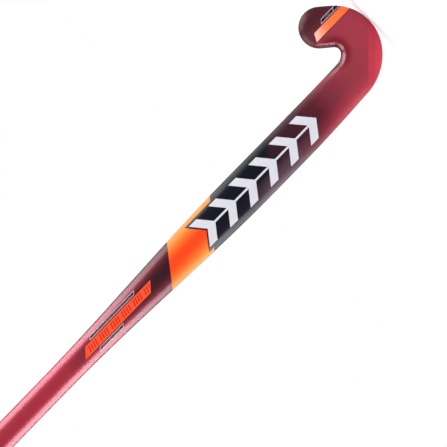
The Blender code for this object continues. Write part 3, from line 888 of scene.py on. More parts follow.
        # painted dark reflection along the edge near the hook's inner bend
        ring = self._near_throat(x, height, *self.dark_rim_reach) & ~side.ramp(*self.dark_rim_sides)
        middle, half, top = self.stripe
        stripe = abs(x - middle).under(half, 0.2) & height.under(top, 0.2)
        middle, half, wall, top = self.tag
        from_tag = abs(x - middle)
        tag = from_tag.under(half, 0.15) & (height - x * self.tag_slant - top).under(0.0, 0.2)
        toe = kit.mix(x.ramp(*self.toe_fade), self.toe_tip, self.toe_maroon)
        return kit.layers(
            height.chart(self.head),
            (slanted.over(*self.black_start), shaft),
            # painted sheen on the heel flank
            (heel_sheen * self.painted_light_share, self.mauve),
            # painted highlight on the head
            (panel, self.panel_red),
            (bright, self.panel_bright),
            # painted shade round the hook's inner bend
            (self._near_throat(x, height, *self.throat_shade_reach) * self.painted_light_share, self.throat_shade_red),
            # painted dark reflection at the bend's edge
            (ring, self.dark_rim_reflection),
            ((x * -1.0).over(*self.toe_edge), toe),
            (stripe, self.stripe_orange),
            (tag, self.tag_rim),
            (tag & from_tag.under(half - wall, 0.15), self.black),
        )

    def _face(self, kit: NodeKit, spot: Spot) -> Value:
        """Colour of the flat face: black below the band, with a thin line round the toe's edge.

        Args:
            kit: the material's kit.
            spot: the place of a point.

        Returns:
            The colour.
        """
        x, height, side = spot
        from_middle = abs(x - self.pin_middle)
        rim = side.over(*self.pin_side) & height.under(*self.pin_top) & ~from_middle.ramp(*self.pin_fade)
        reach, low, high = self.flash
        flash = (from_middle + height * 0.5).under(reach, 0.3)
        flash = flash & height.over(low, 0.3) & height.under(high, 0.3)
        return kit.layers(height.chart(self.face), (rim, self.pin_mauve), (flash, self.pin_red))

    def _banded(self, kit: NodeKit, colour: Value, spot: Spot, back: Value) -> tuple[Value, Value]:
        """The slanted orange band over the rest, amber towards the edges, cut by the last chevron.

        Args:
            kit: the material's kit.
            colour: the colour of the rest.
            spot: the place of a point.
            back: where the back's paint is.

        Returns:
            The colour, and where the band is.
        """
        x, height, side = spot
        around = side.ramp(*self.band_turn)
        low, high = (
            x * slope + around * (behind - ahead) + ahead
            for slope, ahead, behind in (self.band_low, self.band_high)
        )
        band = height.over(low, self.soft) & height.under(high, self.soft)
        halos = []
        for foot, middle, reach in (self.face_fletch, self.back_fletch):
            away = abs(x - middle)
            under = height.under(away * self.chevron_slope + foot, self.soft)
            halos.append(under & away.under(reach, self.soft))
        halo = halos[0] + (halos[1] - halos[0]) * back
        middle, on_face, on_back, full = self.flank
        flank = abs(x - middle).ramp(back * (on_back - on_face) + on_face, full)
        on_face, on_back = self.amber_share
        ink = kit.mix(flank * (back * (on_back - on_face) + on_face), self.orange, self.amber)
        band_only = band & ~halo
        return kit.layers(colour, (band & halo, self.black), (band_only, ink)), band_only


@dataclass(frozen=True)
class FilmFinish(Finish):
    """A film printed in up to three inks, under the same lacquer as the body.

    Lengths are in millimetres. Ticks are their pitch and the share of it that they fill. The
    fades are where along the film, as a share of its length, a ramp starts and ends.
    """

    ink: Colour
    second: Colour = (0.0, 0.0, 0.0, 1.0)
    third: Colour = paint(14, 13, 15)
    printed: Print = Print.PLAIN
    length: float = 100.0
    breadth: float = 10.0
    gloss: float = 0.33
    grain: float = 0.05
    coat: float = 0.1
    ticks: Place = (3.4, 0.46)
    tick_margin: float = 1.6
    rim: float = 0.6
    fine_ticks: Place = (2.3, 0.45)
    mark_margin: float = 1.1
    block: float = 5.0
    fade: Place = (0.5, 0.95)
    flecked: Place = (0.2, 0.5)

    def looks(self, kit: NodeKit, effects: Effects) -> Looks:
        """The inks, by how far along and across the film a point lies."""
        grain = kit.use(effects.speckle, Place=kit.place(), Grain=1500.0)
        colour = self._inked(kit, kit.value_of(ALONG), kit.value_of(ACROSS), grain["Fleck"])
        return sprayed(kit, effects, self.gloss) | {
            "Base Color": kit.mottled(colour, grain["Mottle"], self.grain),
            "Specular IOR Level": 0.04,
            "Coat Weight": self.coat,
        }

    def _inside(self, along: Value, across: Value, margin: float) -> Value:
        """1 where a point is further than a margin from every edge of the film."""
        halves = ((along, 0.5 * self.length), (across, 0.5 * self.breadth))
        from_ends, from_sides = (abs(value - half).under(half - margin, 0.12) for value, half in halves)
        return from_ends & from_sides

    def _ticks(self, along: Value, across: Value, pitch: float, thick: float) -> Value:
        """Slanted strokes at a pitch, in groups of four, across the middle of the film."""
        slanted = along + across * 0.55
        phase, group = ((slanted * (1.0 / every)).math("FRACT") for every in (pitch, 5.0 * pitch))
        return phase.under(thick, 0.06) & group.under(0.8, 0.01)

    def _inked(self, kit: NodeKit, along: Value, across: Value, fleck: Value) -> object:
        """The first ink, with the others laid over it as the print says.

        Args:
            kit: the material's kit.
            along: millimetres from the film's start.
            across: millimetres from its first side.
            fleck: the grain's bright flecks.

        Returns:
            The colour.
        """
        if self.printed is Print.TICKS:
            ticks = self._ticks(along, across, *self.ticks)
            ticks = ticks & self._inside(along, across, self.tick_margin)
            return kit.mix(ticks * 0.85, self.ink, self.second)
        if self.printed is Print.OUTLINED:
            from_end = abs(along - 0.5 * self.length)
            marks = from_end.over(0.5 * self.length - self.block, 0.15)
            marks = marks | self._ticks(along, across, *self.fine_ticks) * 0.75
            return kit.layers(
                self.ink,
                (~self._inside(along, across, self.rim), self.second),
                (marks & self._inside(along, across, self.mark_margin), self.third),
            )
        if self.printed is Print.FADE:
            share = along * (1.0 / self.length)
            flecks = fleck * share.ramp(*self.flecked, 0.0, 0.6)
            return kit.mix(share.ramp(*self.fade, 0.0, 0.85) | flecks, self.ink, self.second)
        return self.ink


@dataclass(frozen=True)
class GripFinish(Finish):
    """Soft wound grip tape with a pebbled skin, darker in its creases, with painted shadow where its
    turns overlap.
    """

    name: str = "wound grip tape"
    skin: Colour = paint(30, 30, 33)
    # crease: darker colour for the skin's creases and for the painted shadow at the laps
    crease: Colour = paint(12, 12, 14)
    rub: Colour = paint(52, 52, 56)

    def looks(self, kit: NodeKit, effects: Effects) -> Looks:
        """The looks, by how far across its turn a point lies."""
        place = kit.place()
        grain = kit.use(effects.pebble, Place=place, Pebbles=820.0)
        lap = ~kit.value_of(TURN_SHARE).ramp(0.0, 0.05)
        colour = kit.layers(
            self.skin,
            (kit.noise(place, 60.0, 3.0) * 0.35, self.rub),
            (grain["Crease"] * 0.6, self.crease),
            # painted shadow under the lapped edge of each turn
            (lap * 0.7, self.crease),
        )
        return {
            "Base Color": colour,
            "Roughness": grain["Crease"] * 0.2 + 0.55,
            "Normal": kit.bump(grain["Height"], 0.35, 0.0003),
            "Specular IOR Level": 0.06,
            "Sheen Weight": 0.12,
            "Sheen Roughness": 0.5,
        }


@dataclass(frozen=True)
class MouldedFinish(Finish):
    """Rubber or vinyl with a pebbled or stretched skin."""

    colour: Colour
    pebbles: float
    rough: float
    relief: float

    def looks(self, kit: NodeKit, effects: Effects) -> Looks:
        """A worn tone on top of its own colour."""
        place = kit.place()
        skin = kit.use(effects.pebble, Place=place, Pebbles=self.pebbles)
        pale = tuple(min(1.0, 1.9 * c) for c in self.colour[:3]) + (1.0,)
        tone = kit.noise(place, 90.0, 4.0).ramp(0.45, 0.8)
        return {
            "Base Color": kit.mix(tone, self.colour, pale),
            "Roughness": tone * 0.12 + self.rough,
            "Normal": kit.bump(skin["Height"], self.relief, 0.0002),
            "Specular IOR Level": 0.08,
        }


@dataclass(frozen=True)
class WovenFinish(Finish):
    """Cloth or bare composite with a woven surface."""

    colour: Colour
    shade: Colour
    threads: float
    rough: float

    def looks(self, kit: NodeKit, effects: Effects) -> Looks:
        """One set of threads darker than the other."""
        weave = kit.use(effects.weave, Place=kit.place(), Threads=self.threads)
        return {
            "Base Color": kit.mix(weave["Over"], self.shade, self.colour),
            "Roughness": weave["Over"] * 0.1 + self.rough,
            "Normal": kit.bump(weave["Height"], 0.4, 0.0003),
        }


@dataclass(frozen=True)
class FoamFinish(Finish):
    """Cast foam with fine closed cells."""

    name: str = "structural foam"
    colour: Colour = paint(214, 198, 160)
    cell: Colour = paint(176, 156, 116)

    def looks(self, kit: NodeKit, effects: Effects) -> Looks:
        """Its own colour, darker in the cells."""
        cells = kit.use(effects.pebble, Place=kit.place(), Pebbles=1300.0)
        return {
            "Base Color": kit.mix(cells["Crease"], self.colour, self.cell),
            "Roughness": cells["Crease"] * 0.08 + 0.82,
            "Normal": kit.bump(cells["Height"], 0.3, 0.0004),
        }


@dataclass(frozen=True)
class WoodFinish(Finish):
    """Turned plug of pale wood, with rings round its length."""

    name: str = "plug wood"
    pale: Colour = paint(196, 160, 112)
    dark: Colour = paint(142, 104, 64)

    def looks(self, kit: NodeKit, effects: Effects) -> Looks:
        """Rings that wander a little."""
        place = kit.place()
        waves = {"Vector": place, "Scale": 110.0, "Distortion": 3.0}
        rings = kit.out("TexWave", waves, "Fac", wave_type="RINGS", rings_direction="Z")
        fibre = kit.noise(place, 420.0, 3.0)
        share = rings * (fibre * 0.6 + 0.4)
        return {
            "Base Color": kit.mix(share, self.pale, self.dark),
            "Roughness": share * 0.15 + 0.5,
            "Normal": kit.bump(fibre, 0.15, 0.0003),
        }


@dataclass(frozen=True)
class FloorFinish(Finish):
    """The studio's plain pale floor."""

    name: str = "studio floor"
    tone: float = 0.93

    def looks(self, kit: NodeKit, effects: Effects) -> Looks:
        """An even, dull grey near white."""
        return {"Base Color": (*3 * (self.tone,), 1.0), "Roughness": 0.9, "Specular IOR Level": 0.1}


@dataclass
class Body:
    """The moulded body: its lacquered skin outside and its bare wall inside."""

    line: StickLine
    ring: Section = field(default_factory=Section)
    top: float = 921.7 * MM
    skin: float = -0.1 * MM
    wall: float = -2.0 * MM
    inner_step: int = 4
    shaft_step: float = 4 * MM
    hook_step: float = 1 * MM
    toe_steps: int = 80

    def _wall(self, offset: float, coarse: int, first: int) -> tuple[Array, Array, list[Array], Array]:
        """The surface at an offset, from the top round the hook to the closed toe.

        Sections follow each other down the line. At its end, half sections turn half a circle
        about the line's last point, from the outer edge to the inner one.

        Args:
            offset: how far the surface lies from the stick's own.
            coarse: how many times wider than usual the steps are.
            first: the number of the first vertex.

        Returns:
            Points, their paint sides, faces, and the numbers of the open ring at the top.
        """
        line, ring, end = self.line, self.ring, np.array(self.line.hook_length)
        above = np.arange(line.run_of(self.top), -0.5 * self.shaft_step, coarse * self.shaft_step)
        below = np.linspace(0.0, end, int(end / (coarse * self.hook_step)))
        runs = np.concatenate([above, below])
        loops = ring.loops(line, runs, offset)
        numbers = grid_numbers(len(runs), ring.count, first)
        steps = self.toe_steps // coarse
        swing = (np.pi * np.arange(1, steps) / steps)[:, None]
        across, depth = ring.half(line, end, np.array(offset))
        fans = line.points(end, across[1:-1], depth[1:-1], swing)
        arcs = grid_numbers(*fans.shape[:2], first + numbers.size)
        half, last = ring.half_count, numbers[-1]
        rows = np.concatenate([last[None, 1:half], arcs, last[None, :half:-1]])
        poles = np.tile(last[[0, half]], (len(rows) - 1, 1))
        near = np.stack([poles[:, 0], rows[:-1, 0], rows[1:, 0]], axis=-1)
        far = np.stack([rows[:-1, -1], poles[:, 1], rows[1:, -1]], axis=-1)
        faces = [ring_quads(numbers[:-1], numbers[1:]), grid_quads(rows), near, far]
        sides = ring.sides()
        round_sides = np.concatenate([sides, sides[-2:0:-1]])
        sides = np.concatenate([np.tile(round_sides, len(runs)), np.tile(sides[1:-1], len(fans))])
        return np.concatenate([loops.reshape(-1, 3), fans.reshape(-1, 3)]), sides, faces, numbers[0]

    def build(self) -> bpy.types.Object:
        """The closed body, with its two walls joined by a rim at the top.

        Returns:
            The piece, with the paint side of each point.
        """
        outer, outer_sides, outer_faces, outer_rim = self._wall(self.skin, 1, 0)
        inner, inner_sides, inner_faces, inner_rim = self._wall(self.wall, self.inner_step, len(outer))
        faces = outer_faces + [face[:, ::-1] for face in inner_faces]
        faces.append(ring_quads(inner_rim[None], outer_rim[None]))
        sides = np.concatenate([outer_sides, inner_sides])
        return make_piece("lacquered_body", np.concatenate([outer, inner]), faces, {PAINT_SIDE: sides})


@dataclass
class Lacquer:
    """The lacquered surface read at places on the playing face or the back."""

    line: StickLine
    step: float = 0.2 * MM

    @cached_property
    def samples(self) -> tuple[Array, Array, Array, Array]:
        """Runs close together along the line, with the place and lean of each."""
        line = self.line
        runs = np.arange(line.run_of(line.length), line.hook_length, line.sample)
        return (runs, *line.at(runs))

    def depth(self, x: Array, height: Array, side: Side) -> Array:
        """World Y of the surface at places.

        The nearest sample of the line gives the run and how far across a place lies. The section
        there gives the depth: the quarter ellipse of the face's edge, or the back's superellipse.

        Args:
            x: places across the stick.
            height: their heights.
            side: which side of the stick they are on.

        Returns:
            The Y of each place.
        """
        runs, line_x, line_height, leans = self.samples
        near = np.argmin((x[:, None] - line_x) ** 2 + (height[:, None] - line_height) ** 2, axis=1)
        lean, dx, dh = leans[near], x - line_x[near], height - line_height[near]
        run = runs[near] - dx * np.sin(lean) - dh * np.cos(lean)
        run = np.clip(run, runs[0], self.line.hook_length)
        across = np.abs(dx * np.cos(lean) - dh * np.sin(lean))
        across = np.where(near == len(runs) - 1, np.hypot(dx, dh), across)
        half, edge, face, back, fullness = self.line.section(run, 0.0)
        past_flat = np.clip((across - (half - edge)) / edge, 0.0, 1.0)
        if side is Side.FACE:
            level = -face * np.sqrt(1.0 - past_flat**2)
        else:
            level = back * (1.0 - np.clip(across / half, 0.0, 1.0) ** fullness) ** (1.0 / fullness)
        return self.line.face_plane + self.line.bow(height) + self.line.face_depth(run) + level

    def lifted(self, x: Array, height: Array, side: Side, lift: float) -> Array:
        """World points a lift above the surface, along its normal.

        The normal comes from how far the depth rises over two steps, across and up.

        Args:
            x: places across the stick.
            height: their heights.
            side: which side of the stick they are on.
            lift: how far above the surface the points lie.

        Returns:
            The points, in the grid of the places.
        """
        flat_x, flat_height, step = x.ravel(), height.ravel(), self.step
        y = self.depth(flat_x, flat_height, side)
        rises = []
        for dx, dh in ((step, 0.0), (0.0, step)):
            ahead = self.depth(flat_x + dx, flat_height + dh, side)
            rises.append(ahead - self.depth(flat_x - dx, flat_height - dh, side))
        normal = side.value * np.stack([-rises[0], np.full(y.shape, 2.0 * step), -rises[1]], axis=1)
        normal /= np.linalg.norm(normal, axis=1)[:, None]
        points = np.stack([flat_x, y, flat_height - HOLD_HEIGHT], axis=1) + lift * normal
        return points.reshape(*x.shape, 3)


@dataclass
class Films:
    """The printed films on the lacquer: thin closed sheets that follow the surface.

    A label or tag is its length and breadth. neck_line is its height in the middle, its slope
    and its reach to either side, and neck_line_ends is how thick it is at its ends. toe_stripe
    is its bottom, top, middle and breadth. toe_tag is its start, length and breadth, and the
    gap between it and the stripe. A pair of starts is the face's and the back's.
    """

    lacquer: Lacquer
    under: float = -0.085 * MM
    over: float = 0.06 * MM
    cell: float = 1.0 * MM
    label: Place = (100 * MM, 10 * MM)
    long_tag: Place = (68 * MM, 4 * MM)
    short_tag: Place = (36 * MM, 4 * MM)
    tag_margin: float = 1.2 * MM
    slant: float = 0.95
    label_middle: float = 0.3 * MM
    label_starts: Place = (370 * MM, 364.5 * MM)
    tag_shifts: Place = (20 * MM, 53 * MM)
    chevrons: int = 6
    chevron_pitch: float = 31 * MM
    chevron_stroke: float = 11.5 * MM
    chevron_slope: float = 0.8
    chevron_margin: float = 7 * MM
    chevron_stem: float = 1.1 * MM
    chevron_starts: Place = (126 * MM, 116 * MM)
    neck_line: Numbers = (98.5 * MM, 0.85, 17 * MM)
    neck_line_ends: Place = (1.8 * MM, 5 * MM)
    toe_stripe: Numbers = (12 * MM, 57 * MM, -58.4 * MM, 8.6 * MM)
    toe_point: float = 5 * MM
    toe_tag: Numbers = (17 * MM, 19 * MM, 4.4 * MM, 1.3 * MM)

    def _sheet(self, x: Array, height: Array, side: Side) -> tuple[Array, Array]:
        """One closed sheet: an under side and an upper one, joined round the grid's rim.

        Args:
            x: a grid of places across the stick.
            height: their heights.
            side: which side of the stick they are on.

        Returns:
            The points and the faces.
        """
        layers = [self.lacquer.lifted(x, height, side, lift) for lift in (self.under, self.over)]
        low, count = grid_numbers(*x.shape), x.size
        rim = np.concatenate([low[0, :-1], low[:-1, -1], low[-1, :0:-1], low[:0:-1, 0]])
        rims = ring_quads(rim[None] + count, rim[None])
        faces = [grid_quads(low)[:, ::-1], grid_quads(low + count), rims]
        return np.concatenate([layer.reshape(-1, 3) for layer in layers]), np.concatenate(faces)

    def _bar(self, name: str, corners: tuple[Place, ...], side: Side) -> bpy.types.Object:
        """A four-cornered film.

        A place is the corners' bilinear blend by s, from start to end, and t, from the first
        side to the second.

        Args:
            name: the piece's name.
            corners: (x, height) at the start's first side, the start's second side, the end's
                second side and the end's first side.
            side: which side of the stick it lies on.

        Returns:
            The film, with how far along and across it each point lies.
        """
        first, second, third, fourth = (np.array(corner) for corner in corners)
        way = fourth - first
        length = float(np.linalg.norm(way))
        breadth = abs(float((second - first) @ (np.array([-way[1], way[0]]) / length)))
        counts = [max(6, math.ceil(size / self.cell)) + 1 for size in (length, breadth)]
        s, t = np.meshgrid(*(np.linspace(0.0, 1.0, n) for n in counts), indexing="ij")
        start, end = (blend(a, b, t[..., None]) for a, b in ((first, second), (fourth, third)))
        place = blend(start, end, s[..., None])
        points, faces = self._sheet(place[..., 0], place[..., 1], side)
        spans = {ALONG: s * length, ACROSS: t * breadth}
        values = {key: np.tile(span.ravel() / MM, 2) for key, span in spans.items()}
        return make_piece(name, points, [faces], values)

    def _slanted(self, start: float, size: Place, middle: float) -> tuple[Place, ...]:
        """Corners of a bar along the shaft with slanted ends, higher at the heel side."""
        length, breadth = size
        low, high = middle - 0.5 * breadth, middle + 0.5 * breadth
        rise = self.slant * breadth
        return ((low, start), (high, start + rise), (high, start + rise + length), (low, start + length))

    def _chevron_row(self, name: str, side: Side) -> bpy.types.Object:
        """A row of chevrons that point to the head, threaded on a thin stem.

        Across, a place runs from minus to plus a reach. Its height is the foot, plus the slope
        times the distance from the middle, plus a share of the stroke. The stem fills the gaps
        between the chevrons in the same way with a small reach.

        Args:
            name: the piece's name.
            side: which side of the stick it lies on.

        Returns:
            The row, with how far along it each point lies.
        """
        line, stroke = self.lacquer.line, self.chevron_stroke
        start = dict(zip(Side, self.chevron_starts))[side]
        pieces, faces, alongs, total = [], [], [], 0
        for index in range(self.chevrons):
            foot = start + index * self.chevron_pitch
            width = float(line.width(line.run_of(foot + stroke)))
            bands = [(0.5 * width - self.chevron_margin, 0.0, stroke)]
            if index < self.chevrons - 1:
                bands.append((self.chevron_stem, stroke, self.chevron_pitch))
            for reach, low, high in bands:
                columns = 2 * max(3, math.ceil(reach / self.cell)) + 1
                rows = math.ceil((high - low) / self.cell) + 1
                u, v = np.meshgrid(np.linspace(-reach, reach, columns), np.linspace(low, high, rows))
                height = foot + self.chevron_slope * np.abs(u) + v
                points, quads = self._sheet(u + line.at(line.run_of(height))[0], height, side)
                pieces.append(points)
                faces.append(quads + total)
                alongs.append(np.tile((height - start).ravel() / MM, 2))
                total += len(points)
        values = {ALONG: np.concatenate(alongs), ACROSS: np.zeros(total)}
        return make_piece(name, np.concatenate(pieces), faces, values)

    def _lay(
        self, name: str, corners: tuple[Place, ...], side: Side, film: bpy.types.Material
    ) -> None:
        """Makes and dresses a four-cornered film, which stands for the solid of its name.

        Args:
            name: the piece's name.
            corners: its corners, in the order that _bar takes.
            side: which side of the stick it lies on.
            film: what it is made of.
        """
        settle(self._bar(name, corners, side), film, f"{name}_film")

    def build(self, effects: Effects) -> None:
        """Makes and dresses every film.

        Args:
            effects: the shared shader groups.
        """
        white = FilmFinish("white film", paint(213, 212, 221), grain=0.08, gloss=0.4).make(effects)
        orange = FilmFinish(
            "orange label film", paint(252, 82, 46), paint(182, 30, 8), printed=Print.TICKS
        ).make(effects)
        reach = 0.5 * (self.label[1] + self.long_tag[1]) + self.tag_margin
        tags = (("long_tag", self.long_tag, -reach), ("short_tag", self.short_tag, reach))
        colours = (
            (paint(66, 48, 52), paint(142, 132, 128), 0.12),
            (paint(108, 62, 76), paint(196, 180, 186), 0.3),
        )
        for side, start, (fill, rim, coat) in zip(Side, self.label_starts, colours):
            prefix, middle = side.name.lower(), self.label_middle
            corners = self._slanted(start, self.label, middle)
            self._lay(f"{prefix}_label", corners, side, orange)
            for (word, size, away), shift in zip(tags, self.tag_shifts):
                tag = self._outlined(f"{prefix} tag film {size[0] / MM:.0f}", fill, rim, size, coat)
                corners = self._slanted(start + shift, size, middle + away)
                self._lay(f"{prefix}_{word}", corners, side, tag.make(effects))
            row = self._chevron_row(f"{prefix}_chevrons", side)
            settle(row, white, f"{prefix}_chevron_film")
        self._head_films(effects)

    @staticmethod
    def _outlined(name: str, fill: Colour, rim: Colour, size: Place, coat: float = 0.1) -> FilmFinish:
        """The finish of an outlined tag of a length and breadth."""
        length, breadth = (measure / MM for measure in size)
        return FilmFinish(
            name, fill, rim, printed=Print.OUTLINED, length=length, breadth=breadth, coat=coat
        )

    def _head_films(self, effects: Effects) -> None:
        """The line across the neck of the face, and the stripe and tag on the toe's back.

        Args:
            effects: the shared shader groups.
        """
        line = self.lacquer.line
        height, slope, reach = self.neck_line
        thin, wide = self.neck_line_ends
        middle = float(line.at(line.run_of(np.array(height)))[0])
        low, high = height - slope * reach, height + slope * reach
        left, right = middle - reach, middle + reach
        corners = ((left, low), (left, low + thin), (right, high + wide), (right, high))
        mauve = FilmFinish(
            "neck line film", paint(70, 44, 58), paint(150, 84, 106), printed=Print.FADE,
            length=2.0 * reach * math.hypot(1.0, slope) / MM,
        )
        self._lay("neck_line", corners, Side.FACE, mauve.make(effects))
        bottom, top, middle, breadth = self.toe_stripe
        left, right = middle - 0.5 * breadth, middle + 0.5 * breadth
        corners = ((left, bottom), (right, bottom), (right, top), (left, top - self.toe_point))
        orange = FilmFinish(
            "toe stripe film", paint(253, 116, 62), paint(250, 206, 188), printed=Print.FADE,
            length=(top - bottom) / MM,
        )
        self._lay("toe_stripe", corners, Side.BACK, orange.make(effects))
        start, length, breadth, margin = self.toe_tag
        corners = self._slanted(start, (length, breadth), left - margin - 0.5 * breadth)
        dark = self._outlined("toe tag film", paint(92, 66, 78), paint(196, 180, 196), (length, breadth))
        self._lay("toe_tag", corners, Side.BACK, dark.make(effects))


@dataclass
class Grip:
    """The wound grip, the tape that holds its lower end, and the rubber cap on the butt.

    tape_climb is where the finishing tape starts to climb onto the grip, and over what length.
    tape_lap is where its upper lap starts, how soon it is up and how thick it is. tape_ends are
    the lengths over which its two edges lie down, and tape_glue is what stays under them.
    cap_dish is how far in from the crown the cap's dish starts, is down and has its last ring.
    """

    line: StickLine
    ring: Section = field(default_factory=lambda: Section(3, 14, 14))
    gap: float = 0.3 * MM
    bottom: float = 622 * MM
    underlay: float = 0.6 * MM
    thick: float = 1.5 * MM
    ridge: float = 0.55 * MM
    pitch: float = 26 * MM
    laps: float = 0.035
    turn_rows: Numbers = (
        0.0, 0.012, 0.03, 0.06, 0.12, 0.25, 0.4, 0.55, 0.7, 0.82, 0.9, 0.95, 0.975, 0.99,
    )
    inner_rows: int = 24
    flange: float = 5 * MM
    stem: float = 14 * MM
    wall: float = 2 * MM
    cap_edge: float = 1.2 * MM
    cap_lip: float = 0.5 * MM
    cap_dish: Numbers = (4 * MM, 4.6 * MM, 9 * MM)
    tape_length: float = 19 * MM
    tape_on_grip: float = 8 * MM
    tape_thick: float = 0.35 * MM
    tape_rows: int = 60
    tape_climb: Place = (5 * MM, 5.2 * MM)
    tape_lap: Numbers = (3.6 * MM, 0.5 * MM, 0.12 * MM)
    tape_ends: Place = (1.2 * MM, 2 * MM)
    tape_glue: float = 0.03 * MM

    @property
    def inside(self) -> float:
        """How far the wound tape's inside lies from the bare handle."""
        return 2 * self.gap + self.underlay

    @property
    def crown(self) -> float:
        """How far the crown of the grip lies from the bare handle."""
        return self.inside + self.thick

    def _loops(self, heights: Array, offsets: Array) -> Array:
        """Sections of the handle at heights, each grown by its offset."""
        return self.ring.loops(self.line, self.line.run_of(heights), offsets)

    def _at_columns(self, heights: Array, offsets: Array) -> Array:
        """World points where every column of a row has a height and an offset of its own.

        Args:
            heights: rows of heights, one for each column.
            offsets: how far each point lies from the bare handle.

        Returns:
            The points, row by row.
        """
        runs, column = self.line.run_of(heights), np.arange(self.ring.count)
        places = self.ring.whole(self.line, runs, offsets)
        return self.line.points(runs, *(place[:, column, column] for place in places))

    def _relief(self, share: Array) -> Array:
        """How far the wound tape's surface lies below its crown, by the share of its turn.

        The lower edge of each turn lies on the turn below. It is rounded over a small share of
        the pitch, and from there the tape sinks evenly to the next turn's edge.

        Args:
            share: shares of the turn, 0 at its lower edge.

        Returns:
            The depth at each.
        """
        lip = np.sqrt(1.0 - np.clip(1.0 - share / self.laps, 0.0, 1.0) ** 2)
        sink = np.clip((share - self.laps) / (1.0 - self.laps), 0.0, 1.0)
        return self.ridge * (1.0 - lip * (1.0 - sink))

    def _share(self, heights: Array) -> Array:
        """The share of its turn that the tape has climbed at each height, column by column."""
        columns = np.arange(self.ring.count) / self.ring.count
        return np.round((heights - self.bottom) / self.pitch - columns, 9) % 1.0

    def winding(self) -> bpy.types.Object:
        """The grip tape, wound up the handle with each turn lapped over the last.

        Rows climb with the tape, by one pitch for each turn, so that the lapped edge follows a
        row. A row's last column joins the first column one turn higher, and rows past an end
        are pressed onto it.

        Returns:
            The piece, with the share of its turn at each point.
        """
        top = self.line.length - self.flange - self.gap
        count, shares = self.ring.count, np.array(self.turn_rows)
        turns = math.ceil((top - self.bottom) / self.pitch) + 1
        climb = (np.arange(-1, turns)[:, None] + shares).reshape(-1, 1) + np.arange(count) / count
        heights = np.clip(self.bottom + climb * self.pitch, self.bottom, top)
        share = self._share(heights)
        outer = self._at_columns(heights, self.crown - self._relief(share))
        levels = np.linspace(top, self.bottom, self.inner_rows)
        inner = self._loops(levels, np.full(levels.shape, self.inside))
        numbers = grid_numbers(len(outer), count)
        higher = np.minimum(np.arange(len(outer)) + len(shares), len(outer) - 1)
        wide = np.concatenate([numbers, numbers[higher, :1]], axis=1)
        inside = grid_numbers(len(inner), count, numbers.size)
        faces = [
            grid_quads(wide),
            ring_quads(numbers[-1:], inside[:1]),
            ring_quads(inside[:-1], inside[1:]),
            ring_quads(inside[-1:], numbers[:1]),
        ]
        values = {TURN_SHARE: np.concatenate([share.ravel(), np.full(inside.size, 0.5)])}
        points = np.concatenate([outer.reshape(-1, 3), inner.reshape(-1, 3)])
        return make_piece("grip_winding", points, faces, values, merge=True, crease=50.0)

    def binding(self) -> bpy.types.Object:
        """The finishing tape: two laps of stretched vinyl that climb from the shaft onto the grip.

        Its outline rises along a smooth ramp over the grip's end, and there it follows the wound
        turns below it. The upper lap starts a third of the way up and adds its own thickness.
        Both edges thin out and lie down on what they are stuck to.

        Returns:
            The piece.
        """
        end = self.bottom + self.tape_on_grip
        heights = np.linspace(end - self.tape_length, end, self.tape_rows)[:, None]
        heights = heights + np.zeros(self.ring.count)
        up, left = heights - end + self.tape_length, end - heights
        climb, over_end = self.tape_climb
        on_grip = self.crown + self.gap - self._relief(self._share(heights))
        under = blend(self.gap, on_grip, smooth((up - climb) / over_end))
        lap_start, lap_rise, lap = self.tape_lap
        risen = (smooth(far / reach) for far, reach in zip((up, left), self.tape_ends))
        down = 1.0 - np.minimum(*risen)
        under = under - (self.gap - self.tape_glue) * down
        thick = self.tape_thick - lap + lap * smooth((up - lap_start) / lap_rise)
        over = under + thick * (1.0 - 0.7 * down)
        out_and_back = np.concatenate([heights, heights[::-1]]), np.concatenate([under, over[::-1]])
        points = self._at_columns(*out_and_back)
        numbers = grid_numbers(*points.shape[:2])
        return make_piece("grip_binding", points, [ring_quads(numbers, np.roll(numbers, -1, axis=0))])

    def cap(self) -> bpy.types.Object:
        """The rubber cap: a stem in the handle and a flange with a rounded edge and a raised rim.

        It is a profile of heights and offsets carried round the handle's section.

        Returns:
            The piece.
        """
        top, low = self.line.length, self.line.length - self.flange
        turn = np.linspace(0.0, 0.5 * np.pi, 9)
        edge, lip, crown, stem = self.cap_edge, self.cap_lip, self.crown, -(self.wall + self.gap)
        rim, foot, floor = (crown - inwards for inwards in self.cap_dish)
        profile = (
            (low - self.stem, stem),
            (low - 0.02 * MM, stem),
            (low, crown - lip),
            (low + lip, crown),
            *zip(top - edge + edge * np.sin(turn), crown - edge + edge * np.cos(turn)),
            (top, rim),
            (top - lip, foot),
            (top - lip, floor),
        )
        loops = self._loops(*np.array(profile).T)
        numbers = grid_numbers(*loops.shape[:2])
        middles = np.array([loops[0].mean(axis=0), loops[-1].mean(axis=0)])
        faces = [ring_quads(numbers[:-1], numbers[1:])]
        ends = enumerate((numbers[0], numbers[-1]), numbers.size)
        faces += [fan_triangles(ring, middle) for middle, ring in ends]
        return make_piece("butt_cap", np.concatenate([loops.reshape(-1, 3), middles]), faces)

    def build(self, effects: Effects) -> None:
        """Makes and dresses the three pieces.

        Args:
            effects: the shared shader groups.
        """
        vinyl = MouldedFinish("stretched vinyl tape", paint(20, 20, 22), 300.0, 0.3, 0.04)
        rubber = MouldedFinish("cap rubber", paint(28, 28, 30), 1500.0, 0.55, 0.3)
        settle(self.winding(), GripFinish().make(effects), "grip_wrap")
        settle(self.binding(), vinyl.make(effects), "finishing_tape")
        settle(self.cap(), rubber.make(effects), "end_cap")


